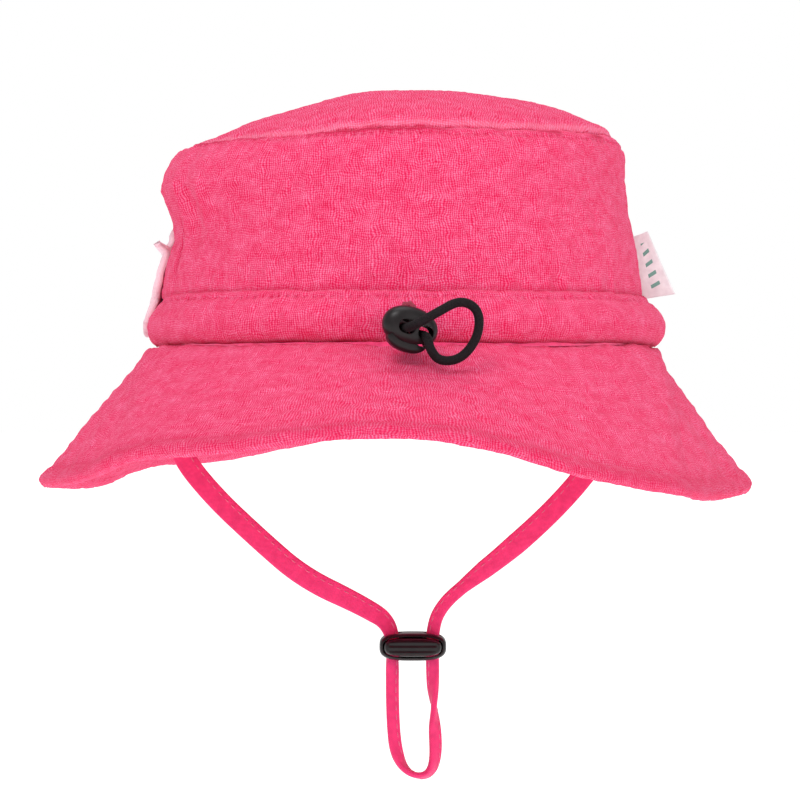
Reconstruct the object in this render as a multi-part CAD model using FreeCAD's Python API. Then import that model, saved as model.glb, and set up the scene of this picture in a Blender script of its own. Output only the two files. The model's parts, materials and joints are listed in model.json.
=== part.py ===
"""A child's terry bucket hat with a drawcord, a chin strap and two spring cord locks.

Millimetres. +Z is up, +Y is the front of the hat and +X is the wearer's right. The origin is the centre of
the head opening, in the plane of the seam between the crown and the brim. The hat is held up as a head
holds it, and its chin strap hangs below it.
"""

import FreeCAD, Part
import math
import os

V = FreeCAD.Vector

# ---------------------------------------------------------------- driving dimensions
SEAM_HALF_WIDTH = 81.0        # crown and brim meet on this ellipse: half its width, along X
SEAM_HALF_LENGTH = 88.0       # and half its length, along Y
TERRY = 2.0                   # towelling, pile included
LINING = 0.6
INTERLINING = 0.8
SWEATBAND = 1.0
LAYER_GAP = 0.15              # between two layers of cloth

BAND_TOP = 16.4               # height of the stitch line at the top of the band
WALL_TOP = 66.0               # height of the seam round the crown's tip
CROWN_TOP = 81.6              # height of the crown's highest point

BRIM_WIDTH = 57.5             # along its slope, from the seam to the edge
BRIM_DROP_SIDE = 43.8         # how far the edge hangs below the seam, at the sides
BRIM_DROP_END = 25.3          # and at the front and back
BRIM_SKEW = 2.8               # the back right and front left droop this much more

CORD_DIAMETER = 2.7
STRAP_WIDTH = 7.0
STRAP_THICKNESS = 1.2
STRAP_FOLDED_WIDTH = 4.2      # where it is folded lengthwise to pass the cord lock
STRAP_FOLDED_THICKNESS = 2.0


def offset_outline(outline, distance):
    """An outline of (offset, height) points, moved inwards, across the cloth, by distance."""
    moved = []
    for i, (offset, height) in enumerate(outline):
        before = outline[max(i - 1, 0)]
        after = outline[min(i + 1, len(outline) - 1)]
        along, up = after[0] - before[0], after[1] - before[1]
        length = math.hypot(along, up)
        moved.append((offset - distance * up / length, height + distance * along / length))
    return moved


def flat_ends(outline, low, high):
    """The outline again, with its two ends carried on or cut back to the heights low and high."""
    ends = []
    for end, beside, height in ((outline[0], outline[1], low), (outline[-1], outline[-2], high)):
        share = (height - beside[1]) / (end[1] - beside[1])
        ends.append((beside[0] + share * (end[0] - beside[0]), height))
    return [ends[0]] + outline[1:-1] + [ends[1]]


def ellipse_ring(offset, height):
    """The seam's ellipse, grown by offset and lifted to a height."""
    centre = V(0, 0, height)
    long_end = V(0, SEAM_HALF_LENGTH + offset, height)
    short_end = V(SEAM_HALF_WIDTH + offset, 0, height)
    return Part.Wire(Part.Ellipse(long_end, short_end, centre).toShape())


def stack_of_rings(outline):
    """The solid whose side has that outline all the way round."""
    return Part.makeLoft([ellipse_ring(offset, height) for offset, height in outline], True, False)


def cloth_ring(outline, start, thickness):
    """A ring of cloth that lies between start and start + thickness inside an outline."""
    low, high = outline[0][1], outline[-1][1]
    outside = flat_ends(offset_outline(outline, start), low, high)
    inside = flat_ends(offset_outline(outline, start + thickness), low, high)
    return stack_of_rings(outside).cut(stack_of_rings(inside))


def front_and_back(ring):
    """The two halves of a ring, with a seam's gap between them at the sides."""
    size = 400.0
    gap = LAYER_GAP / 2
    front = Part.makeBox(size, size, size, V(-size / 2, gap, -size / 2))
    back = Part.makeBox(size, size, size, V(-size / 2, -size - gap, -size / 2))
    return ring.common(front), ring.common(back)


# ---------------------------------------------------------------- crown
WALL_OUTLINE = [(-5.1, 16.9), (-6.6, 28.0), (-8.6, 41.0), (-9.2, 53.0), (-11.6, 61.2), (-16.5, WALL_TOP)]
BAND_OUTLINE = [(0.0, 0.4), (1.7, 4.6), (0.8, 10.0), (-4.7, BAND_TOP)]
SWEATBAND_OUTLINE = [(-5.4, 2.0), (-6.5, 5.0), (-6.7, 11.0), (-7.6, 16.6)]
TIP_RIM = 66.15               # its level rim stands just clear of the wall below
TIP_SAMPLES = 24              # points along its profile, from which each layer is drawn parallel to it
TIP_LINING_GAP = 0.4
TIP_OUTLINE = [(66.0, 64.6), (60.4, 70.2), (52.4, 74.0), (38.4, 78.2), (20.0, 80.9), (0.0, CROWN_TOP)]
TIP_STRETCH = (SEAM_HALF_LENGTH - 16.6) / (SEAM_HALF_WIDTH - 16.6)


def crown_walls():
    front, back = front_and_back(cloth_ring(WALL_OUTLINE, 0.0, TERRY))
    lining_ring = cloth_ring(flat_ends(WALL_OUTLINE, 17.4, 63.0), TERRY + LAYER_GAP, LINING)
    lining_front, lining_back = front_and_back(lining_ring)
    return {
        "crown_wall_front": front,
        "crown_wall_back": back,
        "crown_lining_front": lining_front,
        "crown_lining_back": lining_back,
    }


def dome(start, thickness):
    """A dome of cloth between start and start + thickness under the tip's profile, with its rim cut level."""
    profile = Part.BSplineCurve()       # drawn right across the tip, so that it is level at the axis
    far_side = [(-r, z) for r, z in reversed(TIP_OUTLINE[:-1])]
    profile.interpolate([V(r, 0, z) for r, z in TIP_OUTLINE + far_side])
    low = profile.FirstParameter
    axis = (low + profile.LastParameter) / 2
    parameters = [low + (axis - low) * i / TIP_SAMPLES for i in range(TIP_SAMPLES + 1)]
    sides = []
    for depth in (start, start + thickness):
        side = []
        for parameter in parameters:
            point, along = profile.value(parameter), profile.tangent(parameter)[0]
            side.append(V(point.x - depth * along.z, 0, point.z + depth * along.x))
        side[-1].x = 0.0
        sides.append(side)
    curves = []
    for side in sides:
        curve = Part.BSplineCurve()
        curve.interpolate(side)
        curves.append(curve.toShape())
    (rim_out, top_out), (rim_in, top_in) = [(side[0], side[-1]) for side in sides]
    ends = [Part.makeLine(top_out, top_in), Part.makeLine(rim_in, rim_out)]
    section = Part.Face(Part.Wire([curves[0], ends[0], curves[1], ends[1]]))
    size = 200.0
    above = Part.makeBox(size, size, size, V(-size / 2, -size / 2, TIP_RIM))
    round_dome = section.common(above).Faces[0].revolve(V(0, 0, 0), V(0, 0, 1), 360)
    stretch = FreeCAD.Matrix()
    stretch.scale(1.0, TIP_STRETCH, 1.0)
    return round_dome.transformGeometry(stretch)


# ---------------------------------------------------------------- brim
def brim_drop(angle):
    """How far the brim's edge hangs below the seam, at an angle round the hat."""
    less_at_ends = (BRIM_DROP_SIDE - BRIM_DROP_END) * math.sin(angle) ** 6
    return BRIM_DROP_SIDE - less_at_ends - BRIM_SKEW * math.sin(2 * angle)


def brim_run(angle):
    """How far the brim's edge stands out from the seam: what the cloth's width leaves, evened out a little."""
    at_side = math.sqrt(BRIM_WIDTH ** 2 - BRIM_DROP_SIDE ** 2)
    at_end = math.sqrt(BRIM_WIDTH ** 2 - BRIM_DROP_END ** 2)
    even = at_side + (at_end - at_side) * math.sin(angle) ** 2
    of_width = math.sqrt(BRIM_WIDTH ** 2 - brim_drop(angle) ** 2)
    return (even + of_width) / 2


def round_the_hat(offset, height, angle):
    x = (SEAM_HALF_WIDTH + offset) * math.cos(angle)
    y = (SEAM_HALF_LENGTH + offset) * math.sin(angle)
    return V(x, y, height)


BRIM_START = -1.9             # the brim's inner edge, inside the seam's ellipse
BRIM_BEND = 0.4               # where its slope begins
BRIM_SEAM_HEIGHT = -0.3


def brim_section(angle, depth, thickness):
    """The outline of one layer of the brim, across it at an angle: depth is how far it lies below the top."""
    drop, run = brim_drop(angle), brim_run(angle)
    slope = math.atan2(drop, run)
    upper, lower = [], []
    for side, under in ((upper, depth), (lower, depth + thickness)):
        height = BRIM_SEAM_HEIGHT - under / math.cos(slope)
        side.append((BRIM_START, height))
        side.append((BRIM_BEND, height))
        edge = (BRIM_BEND + run - under * math.sin(slope), BRIM_SEAM_HEIGHT - drop - under * math.cos(slope))
        side.append(edge)
    corners = [round_the_hat(offset, height, angle) for offset, height in upper + lower[::-1]]
    return Part.makePolygon(corners + corners[:1])


def brim_layer(depth, thickness, first, last, steps=20):
    """Half of one layer of the brim, between two angles in degrees."""
    gap = 0.06
    angles = [math.radians(first + gap + (last - first - 2 * gap) * i / steps) for i in range(steps + 1)]
    return Part.makeLoft([brim_section(angle, depth, thickness) for angle in angles], True, False)


def brim():
    layers = {}
    depth = 0.0
    for name, thickness in (("top", TERRY), ("interlining", INTERLINING), ("underside", TERRY)):
        layers[f"brim_{name}_front"] = brim_layer(depth, thickness, 0.0, 180.0)
        layers[f"brim_{name}_back"] = brim_layer(depth, thickness, -180.0, 0.0)
        depth += thickness + 0.1
    return layers


# ---------------------------------------------------------------- routes
ARC_SHARE = 0.45              # of the shorter run beside a corner, taken up by the corner's arc


def rounded_route(points):
    """Straight runs joined by tangent arcs: each corner's piece of the path, from mid-run to mid-run.

    A piece is (start, arc's start, arc's middle, arc's end, end), and the arcs' radii come with the pieces."""
    middles = [(a + b) * 0.5 for a, b in zip(points, points[1:])]
    pieces, radii = [], []
    for i, corner in enumerate(points[1:-1]):
        before, after = points[i], points[i + 2]
        back, on = (before - corner), (after - corner)
        run = min(back.Length, on.Length)
        half_turn = (math.pi - back.getAngle(on)) / 2
        reach = ARC_SHARE * run
        radii.append(reach / math.tan(half_turn))
        back.normalize()
        on.normalize()
        arc_start, arc_end = corner + back * reach, corner + on * reach
        centre = corner + (back + on) * (math.hypot(reach, radii[-1]) / (back + on).Length)
        to_corner = corner - centre
        arc_middle = centre + to_corner * (radii[-1] / to_corner.Length)
        start = points[0] if i == 0 else middles[i]
        end = points[-1] if i == len(points) - 3 else middles[i + 1]
        pieces.append((start, arc_start, arc_middle, arc_end, end))
    return pieces, radii


def piece_edges(piece):
    start, arc_start, arc_middle, arc_end, end = piece
    return [
        Part.LineSegment(start, arc_start).toShape(),
        Part.Arc(arc_start, arc_middle, arc_end).toShape(),
        Part.LineSegment(arc_end, end).toShape(),
    ]


def route_edges(points):
    pieces, radii = rounded_route(points)
    return [edge for piece in pieces for edge in piece_edges(piece)], radii


def report_route(name, solid, section, length, radii):
    ratio = solid.Volume / (section * length)
    print(name, "length", round(length, 1), "radii", [round(r, 1) for r in radii], "volume ratio", round(ratio, 4))


def tube(name, points, diameter):
    """A round cord along a route."""
    edges, radii = route_edges(points)
    path = Part.Wire(edges)
    profile = Part.Wire(Part.Circle(points[0], points[1] - points[0], diameter / 2).toShape())
    solid = path.makePipeShell([profile], True, False)
    report_route(name, solid, math.pi * diameter ** 2 / 4, path.Length, radii)
    return solid


# ---------------------------------------------------------------- drawcord and its cord lock
SLOT_X = 1.4                  # the buttonhole stands upright here, at the back of the band
SLOT_LOW, SLOT_HIGH = 2.3, 11.4
SLOT_WIDTH = 3.3
STITCHING_WIDTH = 1.3         # of the buttonhole stitches round the slot
STITCHING_FACE = -90.85       # their outer face
LEFT_LEG_HEIGHT, RIGHT_LEG_HEIGHT = 6.8, 3.9
CASING_OFFSET = -3.2          # the corners of the cord's route in its casing, inside the seam's ellipse
CASING_CORNER_Y = -83.6       # where the cord turns from the slot into the casing
SLOT_MOUTH = -89.0            # where the casing's cord ends and the free cord starts
TOGGLE_PLACE = V(2.8, -102.6, 3.3)
TOGGLE_ROLL, TOGGLE_YAW = 18.0, 14.0

# The free cord: out of the slot, through the lock's left hole, round the loop and back through its right hole.
DRAWCORD_ROUTE = [
    (1.4, -89.0, 6.8),
    (1.4, -92.8, 6.8),
    (-0.9, -98.6, 4.4),
    (1.3, -108.1, 4.2),
    (4.6, -109.8, 5.7),
    (10.0, -108.9, 8.8),
    (16.4, -107.2, 12.4),
    (21.9, -105.4, 9.7),
    (21.9, -104.9, 2.1),
    (17.0, -105.2, -4.7),
    (10.6, -106.6, -5.6),
    (7.7, -108.3, -2.2),
    (6.9, -107.3, 1.9),
    (4.5, -97.6, 2.4),
    (1.4, -93.2, 3.9),
    (1.4, -89.0, 3.9),
]


def toggle_placement():
    """The cord lock hangs with its right side low and its face turned a little to the right."""
    roll = FreeCAD.Rotation(V(0, 1, 0), TOGGLE_ROLL)
    yaw = FreeCAD.Rotation(V(0, 0, 1), TOGGLE_YAW)
    return FreeCAD.Placement(TOGGLE_PLACE, yaw.multiply(roll))


def casing_route():
    """In at the slot, once round the head inside the casing, and out at the slot again."""
    def at(turn, height):
        x = (SEAM_HALF_WIDTH + CASING_OFFSET) * -math.sin(turn)
        y = (SEAM_HALF_LENGTH + CASING_OFFSET) * -math.cos(turn)
        return V(x, y, height)

    even_turns = [32.0 + (328.0 - 32.0) * i / 18 for i in range(19)]
    turns = [6.0, 16.0] + even_turns + [344.0, 353.0]
    drop = LEFT_LEG_HEIGHT - RIGHT_LEG_HEIGHT
    ring = [at(math.radians(turn), LEFT_LEG_HEIGHT - drop * turn / 360.0) for turn in turns]
    start = [V(SLOT_X, SLOT_MOUTH, LEFT_LEG_HEIGHT), V(SLOT_X, CASING_CORNER_Y, LEFT_LEG_HEIGHT)]
    end = [V(SLOT_X, CASING_CORNER_Y, RIGHT_LEG_HEIGHT), V(SLOT_X, SLOT_MOUTH, RIGHT_LEG_HEIGHT)]
    return start + ring + end


def upright_slot(width, low, high, depth, front):
    """An upright slot with round ends, through depth along Y, starting at y = front."""
    radius = width / 2
    box = Part.makeBox(width, depth, high - low - width, V(SLOT_X - radius, front, low + radius))
    slot = box
    for height in (low + radius, high - radius):
        slot = slot.fuse(Part.makeCylinder(radius, depth, V(SLOT_X, front, height), V(0, 1, 0)))
    return slot.removeSplitter()


def drawcord():
    route = [V(*point) for point in DRAWCORD_ROUTE]
    whole = tube("drawcord", route, CORD_DIAMETER)
    middle = toggle_placement()
    size = 60.0
    behind = Part.makeBox(size, size, size, V(-size / 2, 0, -size / 2))
    behind.Placement = middle
    return {
        "drawcord_in_casing": tube("drawcord_in_casing", casing_route(), CORD_DIAMETER),
        "drawcord_legs": whole.common(behind),
        "drawcord_loop": whole.cut(behind),
    }


def band():
    in_front, through = SLOT_MOUTH - 6.0, 10.0
    hole = upright_slot(SLOT_WIDTH, SLOT_LOW, SLOT_HIGH, through, in_front)
    low = SLOT_LOW - STITCHING_WIDTH + 0.4     # the stitches are closer together at the slot's low end
    outer = upright_slot(SLOT_WIDTH + 2 * STITCHING_WIDTH, low, SLOT_HIGH + STITCHING_WIDTH, 0.8, STITCHING_FACE)
    stitching = outer.cut(hole)
    return {
        "crown_band": cloth_ring(BAND_OUTLINE, 0.0, TERRY).cut(hole),
        "buttonhole_stitching": stitching,
        "sweatband": cloth_ring(SWEATBAND_OUTLINE, 0.0, SWEATBAND),
    }


# ---------------------------------------------------------------- cord locks
class Lock:
    """Sizes of a two-hole cord lock. Its own X is its width, its holes run along its own Y, and its button is
    pressed along +Z, towards its closed end. Its origin lies midway between the holes."""

    wall = 1.1
    clearance = 0.25
    shoulder = 1.5            # height at which the sides turn into the rounded closed end
    bar = 1.6                 # the plunger's bar above its holes
    hole_slack = 0.5          # room above and below the cord in its hole
    spring_radius = 1.9

    def __init__(self, width, thickness, closed_end, mouth, hole_x, hole_width, cord_reach, travel, proud,
                 pocket, turns, wire_radius):
        self.width = width
        self.thickness = thickness
        self.closed_end = closed_end      # height of the closed end above the origin
        self.mouth = mouth                # depth of the open end below it
        self.hole_x = hole_x
        self.hole_width = hole_width
        self.cord_reach = cord_reach      # half the cord's size across the hole
        self.travel = travel
        self.proud = proud                # how far the button stands out
        self.pocket = pocket              # depth of the spring's pocket in the plunger
        self.turns = turns                # of the spring
        self.wire_radius = wire_radius


CHIN_LOCK = Lock(width=21.4, thickness=8.8, closed_end=8.9, mouth=5.6, hole_x=6.3, hole_width=5.6, cord_reach=2.1,
                 travel=3.0, proud=3.3, pocket=2.5, turns=5, wire_radius=0.25)
CORD_LOCK = Lock(width=17.4, thickness=8.0, closed_end=7.2, mouth=5.0, hole_x=3.0, hole_width=4.4,
                 cord_reach=1.35, travel=2.2, proud=1.9, pocket=0.7, turns=3, wire_radius=0.18)


def lock_body(half_width, shoulder, top, bottom, mouth_share, thickness, rounding):
    """A bean: an outline with a rounded closed end, in X and Z, made thick along Y with its edges rounded."""
    depth = (shoulder + bottom) / math.sqrt(1 - mouth_share ** 2)
    centre = V(0, 0, shoulder)

    def elliptical_arc(height, first, last):
        """Part of the ellipse of that height, from one angle to another, as an edge with its two ends."""
        points = []
        for share in (0.0, 0.25, 0.5, 0.75, 1.0):
            angle = math.radians(first + share * (last - first))
            points.append(centre + V(half_width * math.cos(angle), 0, height * math.sin(angle)))
        curve = Part.BSplineCurve()
        curve.interpolate(Points=points)
        return curve.toShape(), points[0], points[-1]

    low = math.degrees(math.asin((shoulder + bottom) / depth))
    top_arc, top_right, top_left = elliptical_arc(top - shoulder, 0.0, 180.0)
    left_arc, _, low_left = elliptical_arc(depth, 180.0, 180.0 + low)
    right_arc, low_right, _ = elliptical_arc(depth, -low, 0.0)
    floor = Part.LineSegment(low_left, low_right).toShape()
    outline = Part.Wire([top_arc, left_arc, floor, right_arc])
    body = Part.Face(outline).extrude(V(0, thickness, 0))
    body.translate(V(0, -thickness / 2, 0))
    tiny = 1e-6

    def is_rim(edge):
        """True for the edges of the two flat faces, apart from those along the open end."""
        return abs(edge.CenterOfMass.z + bottom) > tiny and abs(edge.CenterOfMass.y) > thickness / 2 - tiny

    return body.makeFillet(rounding, [edge for edge in body.Edges if is_rim(edge)])


def lock_hole(lock, side, low, high):
    """A hole through the lock along Y, rounded across, at one side, between two heights."""
    length = 2 * lock.thickness
    radius = min(lock.hole_width, high - low) / 2
    x, width = side * lock.hole_x, lock.hole_width
    box = Part.makeBox(width, length, high - low, V(x - width / 2, -length / 2, low))
    upright = [e for e in box.Edges if abs(e.Vertexes[0].Point.y - e.Vertexes[1].Point.y) > 1.0]
    return box.makeFillet(radius * 0.95, upright)


def cord_lock(lock):
    """The shell, plunger and spring of a cord lock, with its button out and the cords held."""
    half = lock.width / 2
    reach = lock.cord_reach + lock.hole_slack
    shell = lock_body(half, lock.shoulder, lock.closed_end, lock.mouth, 0.92, lock.thickness, 3.0)
    inner_half, inner_end = half - lock.wall, lock.closed_end - lock.wall
    inner_thickness = lock.thickness - 2 * lock.wall
    cavity = lock_body(inner_half, lock.shoulder, inner_end, lock.mouth + 1.0, 0.94, inner_thickness, 2.0)
    shell = shell.cut(cavity)
    plunger_half = inner_half - lock.clearance
    plunger_top = reach + lock.bar
    bottom = lock.mouth + lock.proud
    shoulder = plunger_top - (inner_end - lock.shoulder) + 0.4
    plunger_thickness = inner_thickness - 2 * lock.clearance
    plunger = lock_body(plunger_half * 0.95, shoulder, plunger_top, bottom, 0.97, plunger_thickness, 1.7)
    for side in (-1, 1):
        shell = shell.cut(lock_hole(lock, side, -reach, reach + 0.5))
        plunger = plunger.cut(lock_hole(lock, side, -reach - lock.travel, reach))
    pocket_floor = plunger_top - lock.pocket
    bore = Part.makeCylinder(lock.spring_radius + lock.wire_radius + 0.3, lock.pocket + 5.0, V(0, 0, pocket_floor))
    plunger = plunger.cut(bore)
    low = pocket_floor + lock.wire_radius + 0.15
    high = inner_end - lock.wire_radius - 0.15
    helix = Part.makeHelix((high - low) / lock.turns, high - low, lock.spring_radius)
    helix.translate(V(0, 0, low))
    wire_section = Part.Wire(Part.Circle(V(lock.spring_radius, 0, low), V(0, 1, 0), lock.wire_radius).toShape())
    spring = Part.Wire(helix.Edges).makePipeShell([wire_section], True, True)
    return shell, plunger, spring


def cord_locks():
    nodes = {}
    chin_place = FreeCAD.Placement(V(CHIN_LOCK_X, 0, CHIN_LOCK_Z), FreeCAD.Rotation(V(1, 0, 0), -90))
    for name, lock, place in (
        ("chin_toggle", CHIN_LOCK, chin_place),
        ("cord_toggle", CORD_LOCK, toggle_placement()),
    ):
        for part, solid in zip(("shell", "plunger", "spring"), cord_lock(lock)):
            solid.Placement = place.multiply(solid.Placement)
            nodes[f"{name}_{part}"] = solid
    return nodes


# ---------------------------------------------------------------- chin strap
CHIN_LOCK_X, CHIN_LOCK_Z = 3.1, -95.4
ANCHOR_X, ANCHOR_Z = 77.3, -0.5

# From the left anchor down to the lock, round the loop below it and up to the right anchor, as (x, z).
STRAP_ROUTE = [
    (-ANCHOR_X, ANCHOR_Z),
    (-76.3, -17.0),
    (-71.5, -34.0),
    (-60.5, -47.6),
    (-46.0, -61.2),
    (-32.0, -73.4),
    (-13.0, -82.4),
    (-3.2, -88.6),
    (-3.5, -104.0),
    (-3.3, -119.5),
    (-2.2, -130.5),
    (2.0, -136.6),
    (8.2, -137.0),
    (10.7, -131.0),
    (9.9, -118.0),
    (9.4, -103.5),
    (9.3, -89.2),
    (12.6, -82.0),
    (20.6, -75.0),
    (34.5, -64.3),
    (48.0, -52.0),
    (59.5, -39.0),
    (70.0, -22.5),
    (ANCHOR_X, ANCHOR_Z),
]
TACK_X, TACK_LOW, TACK_HEIGHT, TACK_THICKNESS = 73.1, 2.2, 2.2, 0.8   # stitches on the sweatband's inner face
FOLDED_CORNERS = range(7, 17)  # the points of the route that the folded stretch goes round


def ribbon_piece(piece, width, thickness):
    """A flat piece of strap round one corner of a route in the XZ plane, with its width along Y."""
    start, arc_start, arc_middle, arc_end, end = piece
    half = thickness / 2
    y = V(0, 1, 0)

    def beside(point, along, side):
        across = along.cross(y)
        across.normalize()
        return point + across * (side * half)

    into, out = arc_start - start, end - arc_end
    middle = arc_end - arc_start
    left = [beside(start, into, 1), beside(arc_start, into, 1), beside(arc_middle, middle, 1),
            beside(arc_end, out, 1), beside(end, out, 1)]
    right = [beside(start, into, -1), beside(arc_start, into, -1), beside(arc_middle, middle, -1),
             beside(arc_end, out, -1), beside(end, out, -1)]
    edges = []
    for side in (left, right):
        edges.append(Part.LineSegment(side[0], side[1]).toShape())
        edges.append(Part.Arc(side[1], side[2], side[3]).toShape())
        edges.append(Part.LineSegment(side[3], side[4]).toShape())
    edges.append(Part.LineSegment(left[0], right[0]).toShape())
    edges.append(Part.LineSegment(left[4], right[4]).toShape())
    outline = Part.Wire(Part.__sortEdges__(edges))
    solid = Part.Face(outline).extrude(V(0, width, 0))
    solid.translate(V(0, -width / 2, 0))
    return solid


def chin_strap():
    route = [V(x, 0, z) for x, z in STRAP_ROUTE]
    pieces, radii = rounded_route(route)
    solids, expected = [], 0.0
    for i, piece in enumerate(pieces):
        folded = i + 1 in FOLDED_CORNERS
        width = STRAP_FOLDED_WIDTH if folded else STRAP_WIDTH
        thickness = STRAP_FOLDED_THICKNESS if folded else STRAP_THICKNESS
        solids.append(ribbon_piece(piece, width, thickness))
        expected += width * thickness * sum(e.Length for e in piece_edges(piece))
    strap = solids[0].multiFuse(solids[1:]).removeSplitter()
    length = sum(e.Length for e in route_edges(route)[0])
    report_route("chin_strap", strap, expected / length, length, radii)
    tack = Part.makeBox(TACK_THICKNESS, STRAP_WIDTH, TACK_HEIGHT, V(0, -STRAP_WIDTH / 2, TACK_LOW))
    left, right = tack.copy(), tack.copy()
    left.translate(V(-TACK_X, 0, 0))
    right.translate(V(TACK_X - TACK_THICKNESS, 0, 0))
    return {"chin_strap": strap, "strap_bar_tacks": Part.makeCompound([left, right])}


# ---------------------------------------------------------------- label and flower
LABEL_THICKNESS = 0.9
LABEL_CORNERS = [(73.8, 35.3), (78.4, 37.4), (87.2, 17.4), (79.4, 15.0), (76.4, 18.6)]
FLOWER_ANGLE = 165.5          # round the hat, at the wearer's left and a little forward
FLOWER_TILT = 16.5            # the wall leans inwards by this much
FLOWER_OFFSET, FLOWER_HEIGHT = -1.6, 19.8
PETALS = 5


def side_label():
    corners = [V(x, -LABEL_THICKNESS / 2, z) for x, z in LABEL_CORNERS]
    face = Part.Face(Part.makePolygon(corners + corners[:1]))
    return {"side_label": face.extrude(V(0, LABEL_THICKNESS, 0))}


def petal_layer(petal_radius, petal_distance, turn, thickness, height):
    """A layer of round petals, as one cut-out."""
    layer = Part.makeCylinder(petal_distance, thickness, V(0, 0, height))
    for i in range(PETALS):
        angle = math.radians(turn + 360.0 * i / PETALS)
        centre = V(petal_distance * math.cos(angle), petal_distance * math.sin(angle), height)
        layer = layer.fuse(Part.makeCylinder(petal_radius, thickness, centre))
    return layer.removeSplitter()


def flower():
    angle = math.radians(FLOWER_ANGLE)
    centre = round_the_hat(FLOWER_OFFSET, FLOWER_HEIGHT, angle)
    outwards = V(math.cos(angle) / SEAM_HALF_WIDTH, math.sin(angle) / SEAM_HALF_LENGTH, 0)
    outwards.normalize()
    tilt = math.radians(FLOWER_TILT)
    normal = outwards * math.cos(tilt) + V(0, 0, math.sin(tilt))
    up = outwards * -math.sin(tilt) + V(0, 0, math.cos(tilt))
    across = up.cross(normal)
    place = FreeCAD.Placement(centre, FreeCAD.Rotation(across, up, normal, "ZYX"))
    felt, gap = 1.3, 0.1
    button = Part.makeSphere(6.2, V(0, 0, -3.4)).common(Part.makeBox(20, 20, 20, V(-10, -10, 0)))
    button.translate(V(0, 0, 2 * (felt + gap)))
    nodes = {
        "flower_outer_petals": petal_layer(7.3, 12.0, 90.0, felt, 0.0),
        "flower_inner_petals": petal_layer(4.9, 7.4, 54.0, felt, felt + gap),
        "flower_centre": button,
    }
    for solid in nodes.values():
        solid.Placement = place.multiply(solid.Placement)
    return nodes


# ---------------------------------------------------------------- the whole hat
def hat():
    nodes = {}
    nodes.update(crown_walls())
    nodes["crown_tip"] = dome(0.0, TERRY)
    nodes["crown_tip_lining"] = dome(TERRY + TIP_LINING_GAP, LINING)
    nodes.update(band())
    nodes.update(brim())
    nodes.update(drawcord())
    nodes.update(cord_locks())
    nodes.update(chin_strap())
    nodes.update(side_label())
    nodes.update(flower())
    return nodes


os.makedirs("parts", exist_ok=True)
for name, shape in sorted(hat().items()):
    print(name, "valid", shape.isValid(), "solids", len(shape.Solids), "volume", round(shape.Volume, 1))
    shape.exportStep(f"parts/{name}.step")
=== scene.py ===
"""A child's terry bucket hat round its CAD frame: cloth, cords, stitching and a studio.

Lengths in the modelling functions are millimetres, in the frame of the CAD model: +Z is up, +Y is the front
of the hat and +X is the wearer's right. They become metres where a mesh is made.
"""

import json
import math

import bpy
import numpy as np
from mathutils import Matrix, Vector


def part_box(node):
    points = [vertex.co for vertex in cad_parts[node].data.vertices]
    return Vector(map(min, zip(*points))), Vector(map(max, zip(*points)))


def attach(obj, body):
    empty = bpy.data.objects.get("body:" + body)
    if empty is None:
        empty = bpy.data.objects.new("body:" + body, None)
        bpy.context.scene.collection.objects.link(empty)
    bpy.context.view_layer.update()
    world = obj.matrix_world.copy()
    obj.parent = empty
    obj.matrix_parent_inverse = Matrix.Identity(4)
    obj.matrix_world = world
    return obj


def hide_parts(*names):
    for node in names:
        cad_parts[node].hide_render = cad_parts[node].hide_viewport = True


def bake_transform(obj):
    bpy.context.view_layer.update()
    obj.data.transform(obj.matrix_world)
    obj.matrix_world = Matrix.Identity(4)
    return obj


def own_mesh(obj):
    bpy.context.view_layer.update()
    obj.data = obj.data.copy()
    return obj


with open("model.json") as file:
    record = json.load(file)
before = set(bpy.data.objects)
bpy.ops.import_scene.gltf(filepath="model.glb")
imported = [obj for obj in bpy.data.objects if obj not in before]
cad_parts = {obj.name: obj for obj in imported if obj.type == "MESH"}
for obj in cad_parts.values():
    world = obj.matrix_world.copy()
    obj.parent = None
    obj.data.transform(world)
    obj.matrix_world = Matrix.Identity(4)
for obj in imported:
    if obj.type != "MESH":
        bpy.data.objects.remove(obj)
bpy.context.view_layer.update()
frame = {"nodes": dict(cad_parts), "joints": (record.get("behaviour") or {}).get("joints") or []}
MM = 0.001

# ---------------------------------------------------------------- the hat's dimensions, as in the frame
SEAM_HALF_WIDTH, SEAM_HALF_LENGTH = 81.0, 88.0     # crown and brim meet on this ellipse
WALL_OUTLINE = [(-5.1, 15.6), (-6.6, 28.0), (-8.6, 41.0), (-9.2, 53.0), (-11.6, 61.2), (-15.9, 65.9)]
BAND_OUTLINE = [(-0.6, 0.1), (1.7, 4.6), (0.9, 10.0), (-4.4, 16.6)]
SWEATBAND_OUTLINE = [(-5.4, 2.0), (-6.5, 5.0), (-6.7, 11.0), (-7.6, 16.6)]
TIP_HALF_WIDTH, TIP_HALF_LENGTH = 65.0, 72.0
TIP_OUTLINE = [(0.0, 81.6), (20.0, 80.9), (38.4, 78.2), (52.4, 74.0), (60.4, 70.2), (65.0, 66.1)]
BAND_SEAM, TIP_SEAM = 16.4, 66.0
BRIM_WIDTH, BRIM_DROP_SIDE, BRIM_DROP_END, BRIM_SKEW = 57.5, 43.8, 25.3, 2.8
BRIM_START, BRIM_BEND, BRIM_SEAM_HEIGHT = -1.9, 0.4, -0.3
TERRY, LINING, SWEATBAND = 2.0, 0.6, 1.0
CORD_DIAMETER, STRAP_WIDTH, STRAP_THICKNESS = 2.7, 7.0, 1.2
STRAP_FOLDED_WIDTH, STRAP_FOLDED_THICKNESS = 4.2, 2.0

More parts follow.
